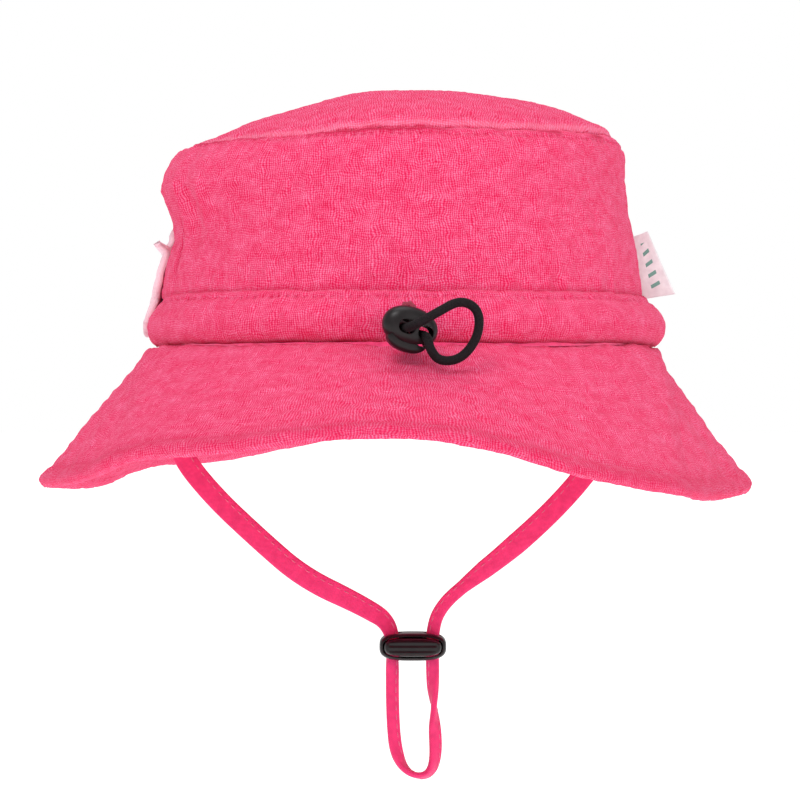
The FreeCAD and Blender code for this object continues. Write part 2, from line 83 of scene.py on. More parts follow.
# ---------------------------------------------------------------- camera
CAMERA_PLACE = (-0.001, -1.1, -0.0166)
camera_data = bpy.data.cameras.new("camera")
camera_data.lens, camera_data.sensor_width = 154.7, 36.0
camera = bpy.data.objects.new("camera", camera_data)
camera.location = CAMERA_PLACE
camera.rotation_euler = (math.radians(90), 0, 0)
bpy.context.scene.collection.objects.link(camera)
bpy.context.scene.camera = camera
bpy.context.scene.view_settings.view_transform = "Standard"


# ---------------------------------------------------------------- small tools
def smooth_step(value, low, high):
    """0 below low, 1 above high, and a smooth rise between them."""
    share = np.clip((value - low) / (high - low), 0, 1)
    return share * share * (3 - 2 * share)


def hump(value, centre, width):
    """A smooth rise to 1 at centre that fades over width to each side."""
    return np.exp(-((value - centre) / width) ** 2)


def noise(points, cell, seed):
    """Smooth noise from -1 to 1 over places in space, with cells of a size, the same on every run."""
    scaled = points / cell
    whole = np.floor(scaled).astype(np.int64)
    part = scaled - whole
    part = part * part * (3 - 2 * part)
    total = np.zeros(points.shape[:-1])
    for corner in range(8):
        step = np.array([corner & 1, corner >> 1 & 1, corner >> 2 & 1])
        key = (whole + step) @ np.array([73856093, 19349663, 83492791]) + seed * 9176423
        key = (key ^ (key >> 15)) * 2246822519 & 0xFFFFFFFF
        key = (key ^ (key >> 13)) * 3266489917 & 0xFFFFFFFF
        value = ((key ^ (key >> 16)) & 0xFFFF) / 32767.5 - 1
        total += value * np.prod(np.where(step == 1, part, 1 - part), axis=-1)
    return total


def resampled(line, count):
    """Points evenly spaced along a line."""
    lengths = np.concatenate([[0], np.cumsum(np.linalg.norm(np.diff(line, axis=0), axis=1))])
    places = np.linspace(0, lengths[-1], count)
    return np.stack([np.interp(places, lengths, line[:, k]) for k in range(line.shape[1])], 1)


def smooth_curve(points, count):
    """Points evenly spaced along a smooth line through some points."""
    points = np.array(points, float)
    padded = np.vstack([2 * points[0] - points[1], points, 2 * points[-1] - points[-2]])
    share = np.linspace(0, 1, 24, endpoint=False)[:, None]
    spans = []
    for a, b, c, d in zip(padded, padded[1:], padded[2:], padded[3:]):
        curve = 2 * b + (c - a) * share + (2 * a - 5 * b + 4 * c - d) * share ** 2
        spans.append(0.5 * (curve + (3 * b - a - 3 * c + d) * share ** 3))
    return resampled(np.vstack(spans + [points[-1:]]), count)


def normals(grid, wrap):
    """Unit normals of a grid of points."""
    if wrap:
        along = np.roll(grid, -1, 0) - np.roll(grid, 1, 0)
    else:
        along = np.gradient(grid, axis=0)
    across = np.gradient(grid, axis=1)
    normal = np.cross(along, across)
    return normal / np.maximum(np.linalg.norm(normal, axis=-1, keepdims=True), 1e-9)


def grid_faces(rows, columns, start, wrap_rows, wrap_columns=False):
    """The quads of a grid of vertices that is stored row by row."""
    row = np.arange(rows if wrap_rows else rows - 1)[:, None]
    column = np.arange(columns if wrap_columns else columns - 1)[None, :]
    next_row, next_column = (row + 1) % rows, (column + 1) % columns
    corners = [row * columns + column, next_row * columns + column,
               next_row * columns + next_column, row * columns + next_column]
    return np.stack([c + start for c in corners], -1).reshape(-1, 4)


def shown(name, data):
    """An object in the scene that holds some data."""
    holder = bpy.data.objects.new(name, data)
    bpy.context.scene.collection.objects.link(holder)
    return holder


def smooth_mesh(name, vertices, faces, material):
    """A smooth mesh from lists, in millimetres."""
    mesh = bpy.data.meshes.new(name)
    mesh.from_pydata((np.asarray(vertices) * MM).tolist(), [], [list(face) for face in faces])
    mesh.polygons.foreach_set("use_smooth", [True] * len(mesh.polygons))
    mesh.materials.append(material)
    return mesh


def make_piece(name, vertices, faces, material, attributes=None):
    """A smooth mesh object with a value or a vector of each attribute at every vertex."""
    mesh = smooth_mesh(name, vertices, faces, material)
    for key, values in (attributes or {}).items():
        kind, field = ("FLOAT", "value") if values.ndim == 1 else ("FLOAT_VECTOR", "vector")
        mesh.attributes.new(key, kind, "POINT").data.foreach_set(field, values.astype(np.float32).ravel())
    mesh.validate()
    return shown(name, mesh)


def cloth_coordinates(grid):
    """Each point's place on the flat cloth: how far along and how far across, with nothing third."""
    middle = grid[:, grid.shape[1] // 2]
    along = np.concatenate([[0], np.cumsum(np.linalg.norm(np.diff(middle, axis=0), axis=1))])
    widths = np.linalg.norm(np.diff(grid, axis=1), axis=-1).mean(0)
    across = np.concatenate([[0], np.cumsum(widths)])
    flat = np.zeros(grid.shape)
    flat[..., 0], flat[..., 1] = along[:, None], across[None, :]
    return flat


def cloth(name, surface, lift, thickness, material, wrap=False, flip=False, shade=None, flat=None):
    """A closed panel of cloth: a grid of points raised along its normals by lift, and its inner side."""
    rows, columns = surface.shape[:2]
    normal = normals(surface, wrap) * (-1 if flip else 1)
    outer = surface + normal * lift[..., None]
    inner = surface - normal * thickness
    count = rows * columns
    out_faces = grid_faces(rows, columns, 0, wrap)
    in_faces = grid_faces(rows, columns, count, wrap)[:, ::-1]
    row = np.arange(rows if wrap else rows - 1)
    next_row = (row + 1) % rows
    first, last = row * columns, row * columns + columns - 1
    next_first, next_last = next_row * columns, next_row * columns + columns - 1
    rims = [np.stack([next_first, first, first + count, next_first + count], 1),
            np.stack([last, next_last, next_last + count, last + count], 1)]
    if not wrap:
        column = np.arange(columns - 1)
        end = (rows - 1) * columns + column
        rims.append(np.stack([column, column + 1, column + 1 + count, column + count], 1))
        rims.append(np.stack([end + 1, end, end + count, end + 1 + count], 1))
    faces = np.vstack([out_faces, in_faces] + rims)
    if flip:
        faces = faces[:, ::-1]
    flat = cloth_coordinates(surface) if flat is None else flat
    shade = np.zeros((rows, columns)) if shade is None else shade
    # The shade attribute carries painted shade and painted highlight, on the outer face only.
    attributes = {
        "cloth": np.vstack([flat.reshape(-1, 3)] * 2),
        "shade": np.concatenate([shade.ravel(), 0 * shade.ravel()]),
    }
    vertices = np.vstack([outer.reshape(-1, 3), inner.reshape(-1, 3)])
    return make_piece(name, vertices, faces, material, attributes)


def seated(piece, body, slot, *nodes):
    """The piece rides on a body and stands for some nodes; the slot is not used."""
    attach(piece, body)
    if nodes:
        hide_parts(*nodes)
    return piece


# ---------------------------------------------------------------- materials
class Finish:
    """A material whose nodes are wired as they are made."""

    def __init__(self, name, **settings):
        self.material = bpy.data.materials.new(name)
        self.material.use_nodes = True
        self.tree = self.material.node_tree
        self.shader = self.tree.nodes["Principled BSDF"]
        for socket, value in settings.items():
            self.shader.inputs[socket.replace("_", " ")].default_value = value

    def add(self, kind, inputs, output=0, **properties):
        node = self.tree.nodes.new("ShaderNode" + kind)
        for key, value in properties.items():
            setattr(node, key, value)
        for socket, value in inputs.items():
            self.wire(node.inputs[socket], value)
        return node.outputs[output]

    def wire(self, socket, value):
        if isinstance(value, bpy.types.NodeSocket):
            self.tree.links.new(value, socket)
        else:
            socket.default_value = value

    def attribute(self, name, output):
        return self.add("Attribute", {}, output=output, attribute_name=name)

    def math(self, operation, a, b=0.0, clamp=False):
        return self.add("Math", {0: a, 1: b}, operation=operation, use_clamp=clamp)

    def scaled(self, vector, scale):
        return self.add("VectorMath", {0: vector, 1: scale}, operation="MULTIPLY")

    def noise(self, vector, scale, detail=2.0, rough=0.5):
        inputs = {"Vector": vector, "Scale": scale, "Detail": detail, "Roughness": rough}
        return self.add("TexNoise", inputs, output="Fac")

    def ramp(self, factor, stops):
        node = self.tree.nodes.new("ShaderNodeValToRGB")
        elements = node.color_ramp.elements
        while len(elements) < len(stops):
            elements.new(0.5)
        for element, (place, colour) in zip(elements, stops):
            element.position = place
            element.color = (*colour, 1)
        self.wire(node.inputs[0], factor)
        return node.outputs[0]

    def weighted(self, *terms):
        """The sum of some textures, each times its weight."""
        total = 0.0
        for texture, weight in terms:
            total = self.math("ADD", total, self.math("MULTIPLY", texture, weight))
        return total

    def mix(self, factor, a, b):
        node = self.tree.nodes.new("ShaderNodeMix")
        node.data_type = "RGBA"
        for socket, value in ((0, factor), (6, a), (7, b)):
            self.wire(node.inputs[socket], value)
        return node.outputs[2]

    def colour(self, value):
        self.wire(self.shader.inputs["Base Color"], value)

    def rough(self, value):
        self.wire(self.shader.inputs["Roughness"], value)

    def bump(self, height, strength, distance):
        inputs = {"Height": height, "Strength": strength, "Distance": distance}
        self.wire(self.shader.inputs["Normal"], self.add("Bump", inputs, output="Normal"))


LOOP_PITCH = (0.74, 0.66)     # of the towelling's loops, along and across the cloth


def terry_finish(name, tint=1.0):
    """Looped towelling: columns of small loops with a painted highlight at their tips and painted shade in
    the crimson gaps between them, and worn patches.

    The shade attribute paints shade in crimson where it is above 0 and a pale pink highlight where it is
    below. A tint below 1 takes down the red, for a darker copy as painted shade.
    """
    finish = Finish(name, Roughness=0.95, Sheen_Weight=0.10, Sheen_Roughness=0.5, Specular_IOR_Level=0.12)
    finish.shader.inputs["Sheen Tint"].default_value = (1.0, 0.55, 0.68, 1)
    flat = finish.attribute("cloth", "Vector")
    stray = finish.add("TexNoise", {"Vector": flat, "Scale": 0.16, "Detail": 3.0}, output="Color")
    stray = finish.add("VectorMath", {0: stray, 1: (0.5, 0.5, 0.5)}, operation="SUBTRACT")
    placed = finish.add("VectorMath", {0: flat, 1: finish.scaled(stray, (3.6, 3.6, 0.0))}, operation="ADD")
    place = finish.add("SeparateXYZ", {0: placed}, output=0).node
    fibres = finish.noise(flat, 2.2, 3.0, 0.6)
    uneven = finish.math("MULTIPLY", fibres, 4.4)
    waves = []
    for axis, pitch in enumerate(LOOP_PITCH):
        turn = finish.math("MULTIPLY", place.outputs[axis], 2 * math.pi / pitch)
        wave = finish.math("COSINE", finish.math("ADD", turn, uneven))
        waves.append(finish.math("ADD", finish.math("MULTIPLY", wave, 0.5), 0.5))
    # The loops paint their tips lighter (painted highlight) and the gaps between them darker (painted shade);
    # the fibres, patches and tufts are the towelling's own uneven tone.
    loops = finish.weighted((waves[0], 0.62), (waves[1], 0.38))
    patches = finish.noise(finish.scaled(flat, (0.13, 0.22, 1.0)), 1.0, 3.0, 0.62)
    tufts = finish.noise(finish.scaled(flat, (0.50, 0.40, 1.0)), 1.0, 3.0, 0.6)
    level = finish.weighted((loops, 0.62), (fibres, 0.50), (patches, 0.46), (tufts, 0.44))
    level = finish.math("SUBTRACT", level, 0.50)
    stops = [(0.18, (0.68 * tint, 0.004, 0.058)), (0.40, (0.755 * tint, 0.030, 0.119)),
             (0.60, (0.80 * tint, 0.081, 0.205)), (0.88, (0.85 * tint, 0.215, 0.372))]
    cloth_colour = finish.ramp(level, stops)
    # Painted shade in crimson where the shade attribute is above 0, and a painted highlight in pale pink
    # where it is below.
    shade = finish.attribute("shade", "Fac")
    darker = finish.math("MULTIPLY", shade, 1.0, clamp=True)
    paler = finish.math("MULTIPLY", shade, -1.0, clamp=True)
    shaded = finish.mix(darker, cloth_colour, (0.50, 0.002, 0.044, 1))
    finish.colour(finish.mix(paler, shaded, (0.92, 0.30, 0.44, 1)))
    finish.bump(finish.weighted((loops, 0.45), (fibres, 0.5), (tufts, 1.2)), 0.7, 0.0006)
    return finish.material


def woven_finish(name, colour, pitch, rough=0.75, depth=0.00012, vary=0.12):
    """A plain weave: threads over and under, with a little unevenness in their colour."""
    finish = Finish(name, Roughness=rough, Sheen_Weight=0.15, Specular_IOR_Level=0.3)
    flat = finish.attribute("cloth", "Vector")
    parts = finish.add("SeparateXYZ", {0: flat}, output=0).node
    turn = 2 * math.pi / pitch
    warp = finish.math("SINE", finish.math("MULTIPLY", parts.outputs[0], turn))
    weft = finish.math("SINE", finish.math("MULTIPLY", parts.outputs[1], turn))
    weave = finish.math("MULTIPLY", warp, weft)
    uneven = finish.noise(flat, 0.35, 3.0)
    level = finish.math("ADD", finish.math("MULTIPLY", weave, 0.18), uneven)
    dark = tuple(c * (1 - 2 * vary) for c in colour)
    light = tuple(min(1.0, c * (1 + vary) + 0.01) for c in colour)
    finish.colour(finish.ramp(level, [(0.25, dark), (0.75, light)]))
    finish.bump(weave, 0.5, depth)
    return finish.material


def plastic_finish(name, colour, rough):
    """Moulded plastic with a fine grain and faint handling marks."""
    finish = Finish(name, Specular_IOR_Level=0.24, Coat_Weight=0.02, Coat_Roughness=0.2)
    place = finish.add("TexCoord", {}, output="Object")
    grain = finish.noise(place, 2600.0, 2.0)
    marks = finish.noise(place, 260.0, 4.0, 0.7)
    light = tuple(c * 1.7 + 0.002 for c in colour)
    finish.colour(finish.ramp(marks, [(0.3, colour), (0.75, light)]))
    finish.rough(finish.math("ADD", finish.math("MULTIPLY", marks, 0.16), rough))
    finish.bump(grain, 0.12, 0.00008)
    return finish.material


def thread_finish(name, colour):
    """Twisted thread: fine slanting ply lines."""
    finish = Finish(name, Roughness=0.6, Sheen_Weight=0.2)
    place = finish.add("TexCoord", {}, output="Object")
    inputs = {"Vector": place, "Scale": 1500.0, "Distortion": 1.0}
    plies = finish.add("TexWave", inputs, output="Fac", bands_direction="DIAGONAL")
    dark = tuple(c * 0.6 for c in colour)
    finish.colour(finish.ramp(plies, [(0.2, dark), (0.8, colour)]))
    finish.bump(plies, 0.4, 0.0001)
    return finish.material


def felt_finish(name, colour):
    """Soft felt: matted fibres with a pale bloom."""
    finish = Finish(name, Roughness=0.95, Sheen_Weight=0.15, Sheen_Roughness=0.5, Specular_IOR_Level=0.2)
    place = finish.add("TexCoord", {}, output="Object")
    fibres = finish.noise(place, 1400.0, 5.0, 0.75)
    cloud = finish.noise(place, 160.0, 3.0)
    level = finish.weighted((fibres, 0.6), (cloud, 0.4))
    dark = tuple(c * 0.82 for c in colour)
    finish.colour(finish.ramp(level, [(0.35, dark), (0.65, colour)]))
    finish.bump(fibres, 0.6, 0.0003)
    return finish.material


def steel_finish(name):
    """Drawn spring wire with fine die lines."""
    finish = Finish(name, Metallic=1.0, Roughness=0.3)
    place = finish.add("TexCoord", {}, output="Object")
    lines = finish.noise(place, 3000.0, 3.0)
    finish.colour(finish.ramp(lines, [(0.3, (0.42, 0.42, 0.44)), (0.7, (0.62, 0.62, 0.63))]))
    finish.rough(finish.math("ADD", finish.math("MULTIPLY", lines, 0.25), 0.18))
    return finish.material


def label_finish(name):
    """Satin ribbon with a column of plain woven bars, which slant a little."""
    bar_pitch, bar_share, middle, half_length, first, last = 3.6, 0.34, 4.6, 1.5, 3.0, 18.0
    finish = Finish(name, Roughness=0.5, Sheen_Weight=0.2)
    flat = finish.attribute("cloth", "Vector")
    parts = finish.add("SeparateXYZ", {0: flat}, output=0).node
    ribs = finish.math("SINE", finish.math("MULTIPLY", parts.outputs[1], 2 * math.pi / 0.35))
    uneven = finish.noise(flat, 0.4, 3.0)
    ground = finish.ramp(uneven, [(0.3, (0.68, 0.61, 0.64)), (0.7, (0.80, 0.75, 0.77))])
    slanted = finish.math("ADD", parts.outputs[1], finish.math("MULTIPLY", parts.outputs[0], 0.35))
    step = finish.math("FRACT", finish.math("MULTIPLY", slanted, 1 / bar_pitch))
    bars = finish.math("LESS_THAN", step, bar_share)
    from_middle = finish.math("ABSOLUTE", finish.math("SUBTRACT", parts.outputs[0], middle))
    bars = finish.math("MULTIPLY", bars, finish.math("LESS_THAN", from_middle, half_length))
    inside = finish.math("GREATER_THAN", parts.outputs[1], first)
    inside = finish.math("MULTIPLY", inside, finish.math("LESS_THAN", parts.outputs[1], last))
    bars = finish.math("MULTIPLY", bars, inside)
    finish.colour(finish.mix(bars, ground, (0.13, 0.30, 0.25, 1)))
    finish.bump(finish.math("ADD", ribs, finish.math("MULTIPLY", bars, 2.0)), 0.3, 0.0001)
    return finish.material


def cord_finish(name):
    """Braided elastic: matt strands whose crests catch the light."""
    finish = Finish(name, Roughness=0.7, Sheen_Weight=0.03, Specular_IOR_Level=0.14)
    place = finish.add("TexCoord", {}, output="Object")
    fibres = finish.noise(place, 2200.0, 3.0)
    finish.colour(finish.ramp(fibres, [(0.3, (0.003, 0.002, 0.0025)), (0.75, (0.015, 0.009, 0.012))]))
    finish.bump(fibres, 0.35, 0.0001)
    return finish.material


TERRY_FINISH = terry_finish("terry_towelling")
# The brim's underside takes a darker copy of the towelling: painted shade.
SHADED_UNDERSIDE_FINISH = terry_finish("terry_towelling_shaded_underside", tint=0.96)
LINING_FINISH = woven_finish("cotton_lining", (0.86, 0.10, 0.26), 0.5)
SWEATBAND_FINISH = woven_finish("cotton_tape", (0.84, 0.05, 0.20), 0.7, depth=0.0002)
INTERLINING_FINISH = woven_finish("interlining_nonwoven", (0.80, 0.74, 0.74), 0.9)
STRAP_FINISH = woven_finish("strap_weave", (0.86, 0.022, 0.165), 0.55, rough=0.6, depth=0.00015, vary=0.08)
TOGGLE_FINISH = plastic_finish("toggle_plastic", (0.006, 0.004, 0.0045), 0.26)
CORD_FINISH = cord_finish("braided_elastic")
SPRING_FINISH = steel_finish("spring_wire")
STITCH_FINISH = thread_finish("pink_thread", (0.90, 0.16, 0.30))
CRIMSON_THREAD = thread_finish("crimson_thread", (0.34, 0.004, 0.04))
LABEL_FINISH = label_finish("satin_label")
FELT_FINISH = felt_finish("pale_felt", (0.96, 0.66, 0.74))


# ---------------------------------------------------------------- cords
DRAWCORD_ROUTE = [
    (1.4, -89.0, 6.8),
    (1.4, -92.8, 6.8),
    (-0.9, -98.6, 4.4),
    (1.3, -108.1, 4.2),
    (4.6, -109.8, 5.7),
    (10.0, -108.9, 8.8),
    (16.4, -107.2, 12.4),
    (21.9, -105.4, 9.7),
    (21.9, -104.9, 2.1),
    (17.0, -105.2, -4.7),
    (10.6, -106.6, -5.6),
    (7.7, -108.3, -2.2),
    (6.9, -107.3, 1.9),
    (4.5, -97.6, 2.4),
    (1.4, -93.2, 3.9),
    (1.4, -89.0, 3.9),
]
DRAWCORD_LENGTH = 92.0
STRAP_ROUTE = [
    (-77.3, -0.5),
    (-76.3, -17.0),
    (-71.5, -34.0),
    (-60.5, -47.6),
    (-46.0, -61.2),
    (-32.0, -73.4),
    (-13.0, -82.4),
    (-3.2, -88.6),
    (-3.5, -104.0),
    (-3.3, -119.5),
    (-2.2, -130.5),
    (2.0, -136.6),
    (8.2, -137.0),
    (10.7, -131.0),
    (9.9, -118.0),
    (9.4, -103.5),
    (9.3, -89.2),
    (12.6, -82.0),
    (20.6, -75.0),
    (34.5, -64.3),
    (48.0, -52.0),
    (59.5, -39.0),
    (70.0, -22.5),
    (77.3, -0.5),
]
STRAP_LENGTH = 338.0


def route_line(points):
    """The smooth line of a cord, whose control points are its route."""
    curve = bpy.data.curves.new("route", "CURVE")
    curve.dimensions = "3D"
    spline = curve.splines.new("NURBS")
    spline.points.add(len(points) - 1)
    for control, point in zip(spline.points, points):
        control.co = (*[value * MM for value in point], 1)
    spline.order_u = 3
    spline.use_endpoint_u = True
    spline.resolution_u = 24
    holder = bpy.data.objects.new("route", curve)
    line = bpy.data.meshes.new_from_object(holder)
    places = np.array([vertex.co for vertex in line.vertices], float) / MM
    bpy.data.objects.remove(holder)
    bpy.data.curves.remove(curve)
    bpy.data.meshes.remove(line)
    return places


def frames_along(line):
    """The direction of a line at each point, and two directions across it that don't twist."""
    forward = np.gradient(line, axis=0)
    forward /= np.linalg.norm(forward, axis=1, keepdims=True)
    across = np.zeros_like(line)
    start = np.cross(forward[0], (0.0, 0.0, 1.0))
    if np.linalg.norm(start) < 0.1:
        start = np.cross(forward[0], (1.0, 0.0, 0.0))
    across[0] = start / np.linalg.norm(start)
    for i in range(1, len(line)):
        carried = across[i - 1] - forward[i] * (across[i - 1] @ forward[i])
        across[i] = carried / np.linalg.norm(carried)
    return forward, across, np.cross(forward, across)


def tube(line, radii, sides):
    """Vertices and faces of a closed tube along a line; radii has one row of sides for each point."""
    _, across, up = frames_along(line)
    turn = np.linspace(0, 2 * math.pi, sides, endpoint=False)
    ring = across[:, None] * np.cos(turn)[None, :, None] + up[:, None] * np.sin(turn)[None, :, None]
    vertices = (line[:, None] + ring * radii[..., None]).reshape(-1, 3)
    faces = grid_faces(len(line), sides, 0, False, True)[:, ::-1].tolist()
    faces.append(list(range(sides)))
    faces.append(list(range((len(line) - 1) * sides, len(line) * sides))[::-1])
    return vertices, faces


def joined(parts):
    """Many (vertices, faces) as one."""
    vertices, faces, start = [], [], 0
    for part_vertices, part_faces in parts:
        vertices.append(np.asarray(part_vertices))
        faces.extend([[index + start for index in face] for face in part_faces])
        start += len(part_vertices)
    return np.vstack(vertices), faces


def make_threads(name, lines, radius, material):
    """Short stitches of thread, one along each line, rounded off at both ends."""
    parts, sides = [], 6
    for line in lines:
        share = np.linspace(-1, 1, len(line))
        swell = np.sqrt(np.clip(1 - np.abs(share) ** 4, 0.06, 1))
        parts.append(tube(np.asarray(line), radius * swell[:, None] * np.ones((1, sides)), sides))
    vertices, faces = joined(parts)
    return shown(name, smooth_mesh(name, vertices, faces, material))


def make_drawcord(lock):
    """The free length of braided elastic, from the slot through the cord lock, round its loop and back."""
    line = resampled(route_line(DRAWCORD_ROUTE), 640)
    sides, carriers, lay = 40, 8, 5.2          # strands each way round, and the length of one turn
    place = np.linspace(0, DRAWCORD_LENGTH, len(line))[:, None]
    turn = np.linspace(0, 2 * math.pi, sides, endpoint=False)[None, :]
    one_way = np.cos(carriers * (turn + 2 * math.pi * place / lay) / 2) ** 2
    other_way = np.cos(carriers * (turn - 2 * math.pi * place / lay) / 2) ** 2
    radii = CORD_DIAMETER / 2 * (0.90 + 0.12 * np.maximum(one_way, other_way))
    vertices, faces = tube(line, radii, sides)
    mesh_piece = make_piece("drawcord", vertices, faces, CORD_FINISH)
    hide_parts("drawcord_legs", "drawcord_loop")
    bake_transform(mesh_piece)


# Along the strap, in millimetres: (place, turn in degrees from edge-on, share of the way to its folded
# section).
STRAP_TURNS = [
    (0, 0, 0), (12, 4, 0), (38, 86, 0), (100, 92, 0), (116, 86, 0.3), (125, 62, 0.8), (132, 44, 0.95),
    (138, 88, 1), (152, 90, 1), (160, 78, 1), (169, 8, 1), (177, -32, 1), (189, -72, 1), (197, -12, 1),
    (204, 48, 1), (212, 84, 1), (226, 90, 1), (240, 88, 0.95), (249, 96, 0.35), (262, 92, 0),
    (300, 88, 0), (326, 6, 0), (338, 0, 0),
]


def make_strap(lock):
    """One folded and stitched strap, turned flat to the back below the brim and folded through its lock."""
    line = resampled(route_line([(x, 0.0, z) for x, z in STRAP_ROUTE]), 700)
    table = np.array(STRAP_TURNS, float)
    place = np.linspace(0, STRAP_LENGTH, len(line))
    turn = np.radians(np.interp(place, table[:, 0], table[:, 1]))
    kernel = np.hanning(23) / np.hanning(23).sum()
    turn = np.convolve(np.pad(turn, 11, mode="edge"), kernel, mode="valid")
    folded = np.interp(place, table[:, 0], table[:, 2])
    forward = np.gradient(line, axis=0)
    forward /= np.linalg.norm(forward, axis=1, keepdims=True)
    side = np.tile((0.0, 1.0, 0.0), (len(line), 1))
    in_plane = np.cross(forward, side)
    width_way = side * np.cos(turn)[:, None] + in_plane * np.sin(turn)[:, None]
    face_way = np.cross(width_way, forward)
    half_width = (STRAP_WIDTH + (STRAP_FOLDED_WIDTH - STRAP_WIDTH) * folded) / 2
    half_depth = (STRAP_THICKNESS + (STRAP_FOLDED_THICKNESS - STRAP_THICKNESS) * folded) / 2
    wander = noise(line, 9.0, 5) * 0.12
    sides = 28
    around = np.linspace(0, 2 * math.pi, sides, endpoint=False)
    wide = np.sign(np.cos(around)) * np.abs(np.cos(around)) ** 0.55
    deep = np.sign(np.sin(around)) * np.abs(np.sin(around)) ** 0.55
    groove = 1 - 0.30 * hump(wide, 0.52, 0.12) * (deep ** 2)
    vertices = (line[:, None] + width_way[:, None] * (half_width[:, None] * wide)[..., None]
                + face_way[:, None] * (half_depth[:, None] * deep * groove + wander[:, None])[..., None])
    faces = grid_faces(len(line), sides, 0, False, True).tolist()
    faces.append(list(range(sides))[::-1])
    faces.append(list(range((len(line) - 1) * sides, len(line) * sides)))
    flat = np.zeros((len(line), sides, 3))
    flat[..., 0] = place[:, None]
    flat[..., 1] = half_width[:, None] * wide + 4.0 * (deep < 0)
    vertices = vertices.reshape(-1, 3)
    strap = make_piece("strap", vertices, faces, STRAP_FINISH, {"cloth": flat.reshape(-1, 3)})
    stitches = []
    pitch, length = 2.9, 2.1
    step = STRAP_LENGTH / (len(line) - 1)
    for start in np.arange(14.0, STRAP_LENGTH - 14.0, pitch):
        first = int(start / step)
        rows = np.arange(first, first + max(3, int(length / step) + 1))
        if rows[-1] >= len(line):
            continue
        for face in (-1, 1):
            out = half_depth[rows] * 0.78 + 0.10 * np.sin(np.linspace(0, math.pi, len(rows)))
            stitch = line[rows] + width_way[rows] * (half_width[rows] * 0.52)[:, None]
            stitch = stitch + face_way[rows] * (out * face + wander[rows])[:, None]
            stitches.append(stitch)
    thread = make_threads("strap_stitches", stitches, 0.17, STITCH_FINISH)
    for piece, slot in ((strap, "strap"), (thread, "thread")):
        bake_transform(piece)
    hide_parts("chin_strap")


# ---------------------------------------------------------------- cord locks
joints = {joint["name"]: joint for joint in frame["joints"]}


def pebble(centre, half, flat_power, round_power):
    """A rounded solid: an oval in X and Y of one power, and a rounded profile along Z of another."""
    rows, columns = 44, 88
    lift = np.linspace(-math.pi / 2, math.pi / 2, rows)[1:-1, None]
    turn = np.linspace(0, 2 * math.pi, columns, endpoint=False)[None, :]
    way = np.stack([np.cos(lift) * np.cos(turn), np.cos(lift) * np.sin(turn), np.sin(lift) + 0 * turn], -1)
    oval = np.abs(way[..., 0]) ** flat_power + np.abs(way[..., 1]) ** flat_power
    oval = oval ** (round_power / flat_power)
    reach = (oval + np.abs(way[..., 2]) ** round_power) ** (-1 / round_power)
    ring = way * reach[..., None] * np.array(half)
    ends = np.array([(0.0, 0.0, -half[2]), (0.0, 0.0, half[2])])
    vertices = np.vstack([ring.reshape(-1, 3), ends]) + np.array(centre)
    count = (rows - 2) * columns
    faces = grid_faces(rows - 2, columns, 0, False, True)[:, ::-1].tolist()
    for i in range(columns):
        after = (i + 1) % columns
        faces.append([i, count, after])
        faces.append([count - columns + after, count + 1, count - columns + i])
    return vertices, faces


def prism(outline, low, high):
    """A closed solid with an outline in X and Y, from one height to another."""
    sides = len(outline)
    rings = [np.column_stack([outline, np.full(sides, height)]) for height in (low, high)]
    faces = grid_faces(2, sides, 0, False, True)[:, ::-1].tolist()
    faces += [list(range(sides)), list(range(sides, 2 * sides))[::-1]]
    return np.vstack(rings), faces


def oval_hole(middle, half_width, half_height):
    """The outline of a hole with round ends."""
    turn = np.linspace(0, 2 * math.pi, 40, endpoint=False)
    x = np.sign(np.cos(turn)) * np.abs(np.cos(turn)) ** 0.8 * half_width + middle[0]
    y = np.sign(np.sin(turn)) * np.abs(np.sin(turn)) ** 0.8 * half_height + middle[1]
    return np.column_stack([x, y])


def temporary(part):
    """A working object in the lock's own millimetres, which is removed again."""
    vertices, faces = part
    mesh = bpy.data.meshes.new("temporary")
    mesh.from_pydata(np.asarray(vertices).tolist(), [], faces)
    mesh.update()
    return shown("temporary", mesh)


def carved(name, part, cutters, voxel):
    """A solid, in millimetres, with others cut out of it and its edges softened, as a mesh."""
    piece = temporary(part)
    tools = [temporary(cutter) for cutter in cutters]
    for tool in tools:
        cut = piece.modifiers.new("cut", "BOOLEAN")
        cut.operation, cut.solver, cut.object = "DIFFERENCE", "EXACT", tool
    remesh = piece.modifiers.new("remesh", "REMESH")
    remesh.mode, remesh.voxel_size, remesh.use_smooth_shade = "VOXEL", voxel, True
    smooth = piece.modifiers.new("smooth", "SMOOTH")
    smooth.factor, smooth.iterations = 0.5, 5
    bpy.context.view_layer.update()
    made = bpy.data.meshes.new_from_object(piece.evaluated_get(bpy.context.evaluated_depsgraph_get()))
    made.name = name
    for extra in [piece] + tools:
        data = extra.data
        bpy.data.objects.remove(extra)
        bpy.data.meshes.remove(data)
    return made


def placed_lock_piece(name, mesh, origin, side, up, through, body, node):
    """Turns a lock's own axes (its width, its press direction, its holes) into the hat's."""
    points = np.zeros(len(mesh.vertices) * 3)
    mesh.vertices.foreach_get("co", points)
    points = points.reshape(-1, 3)
    points = np.array(origin) + points @ np.stack([side, up, through])
    mesh.vertices.foreach_set("co", (points * MM).ravel())
    mesh.polygons.foreach_set("use_smooth", [True] * len(mesh.polygons))
    mesh.materials.append(TOGGLE_FINISH)
    if np.linalg.det(np.stack([side, up, through])) < 0:
        mesh.flip_normals()
    mesh.update()
    return seated(shown(name, mesh), body, "toggle_plastic", node)


CORD_LOCK_PLACE, CHIN_LOCK_PLACE = (2.8, -102.6, 3.3), (3.1, 0.0, -95.4)


def through_holes(spread, height, half_width, half_height):
    """Cutters for the two holes of a lock, one at each side of its middle."""
    return [prism(oval_hole((x, height), half_width, half_height), -6, 6) for x in (-spread, spread)]


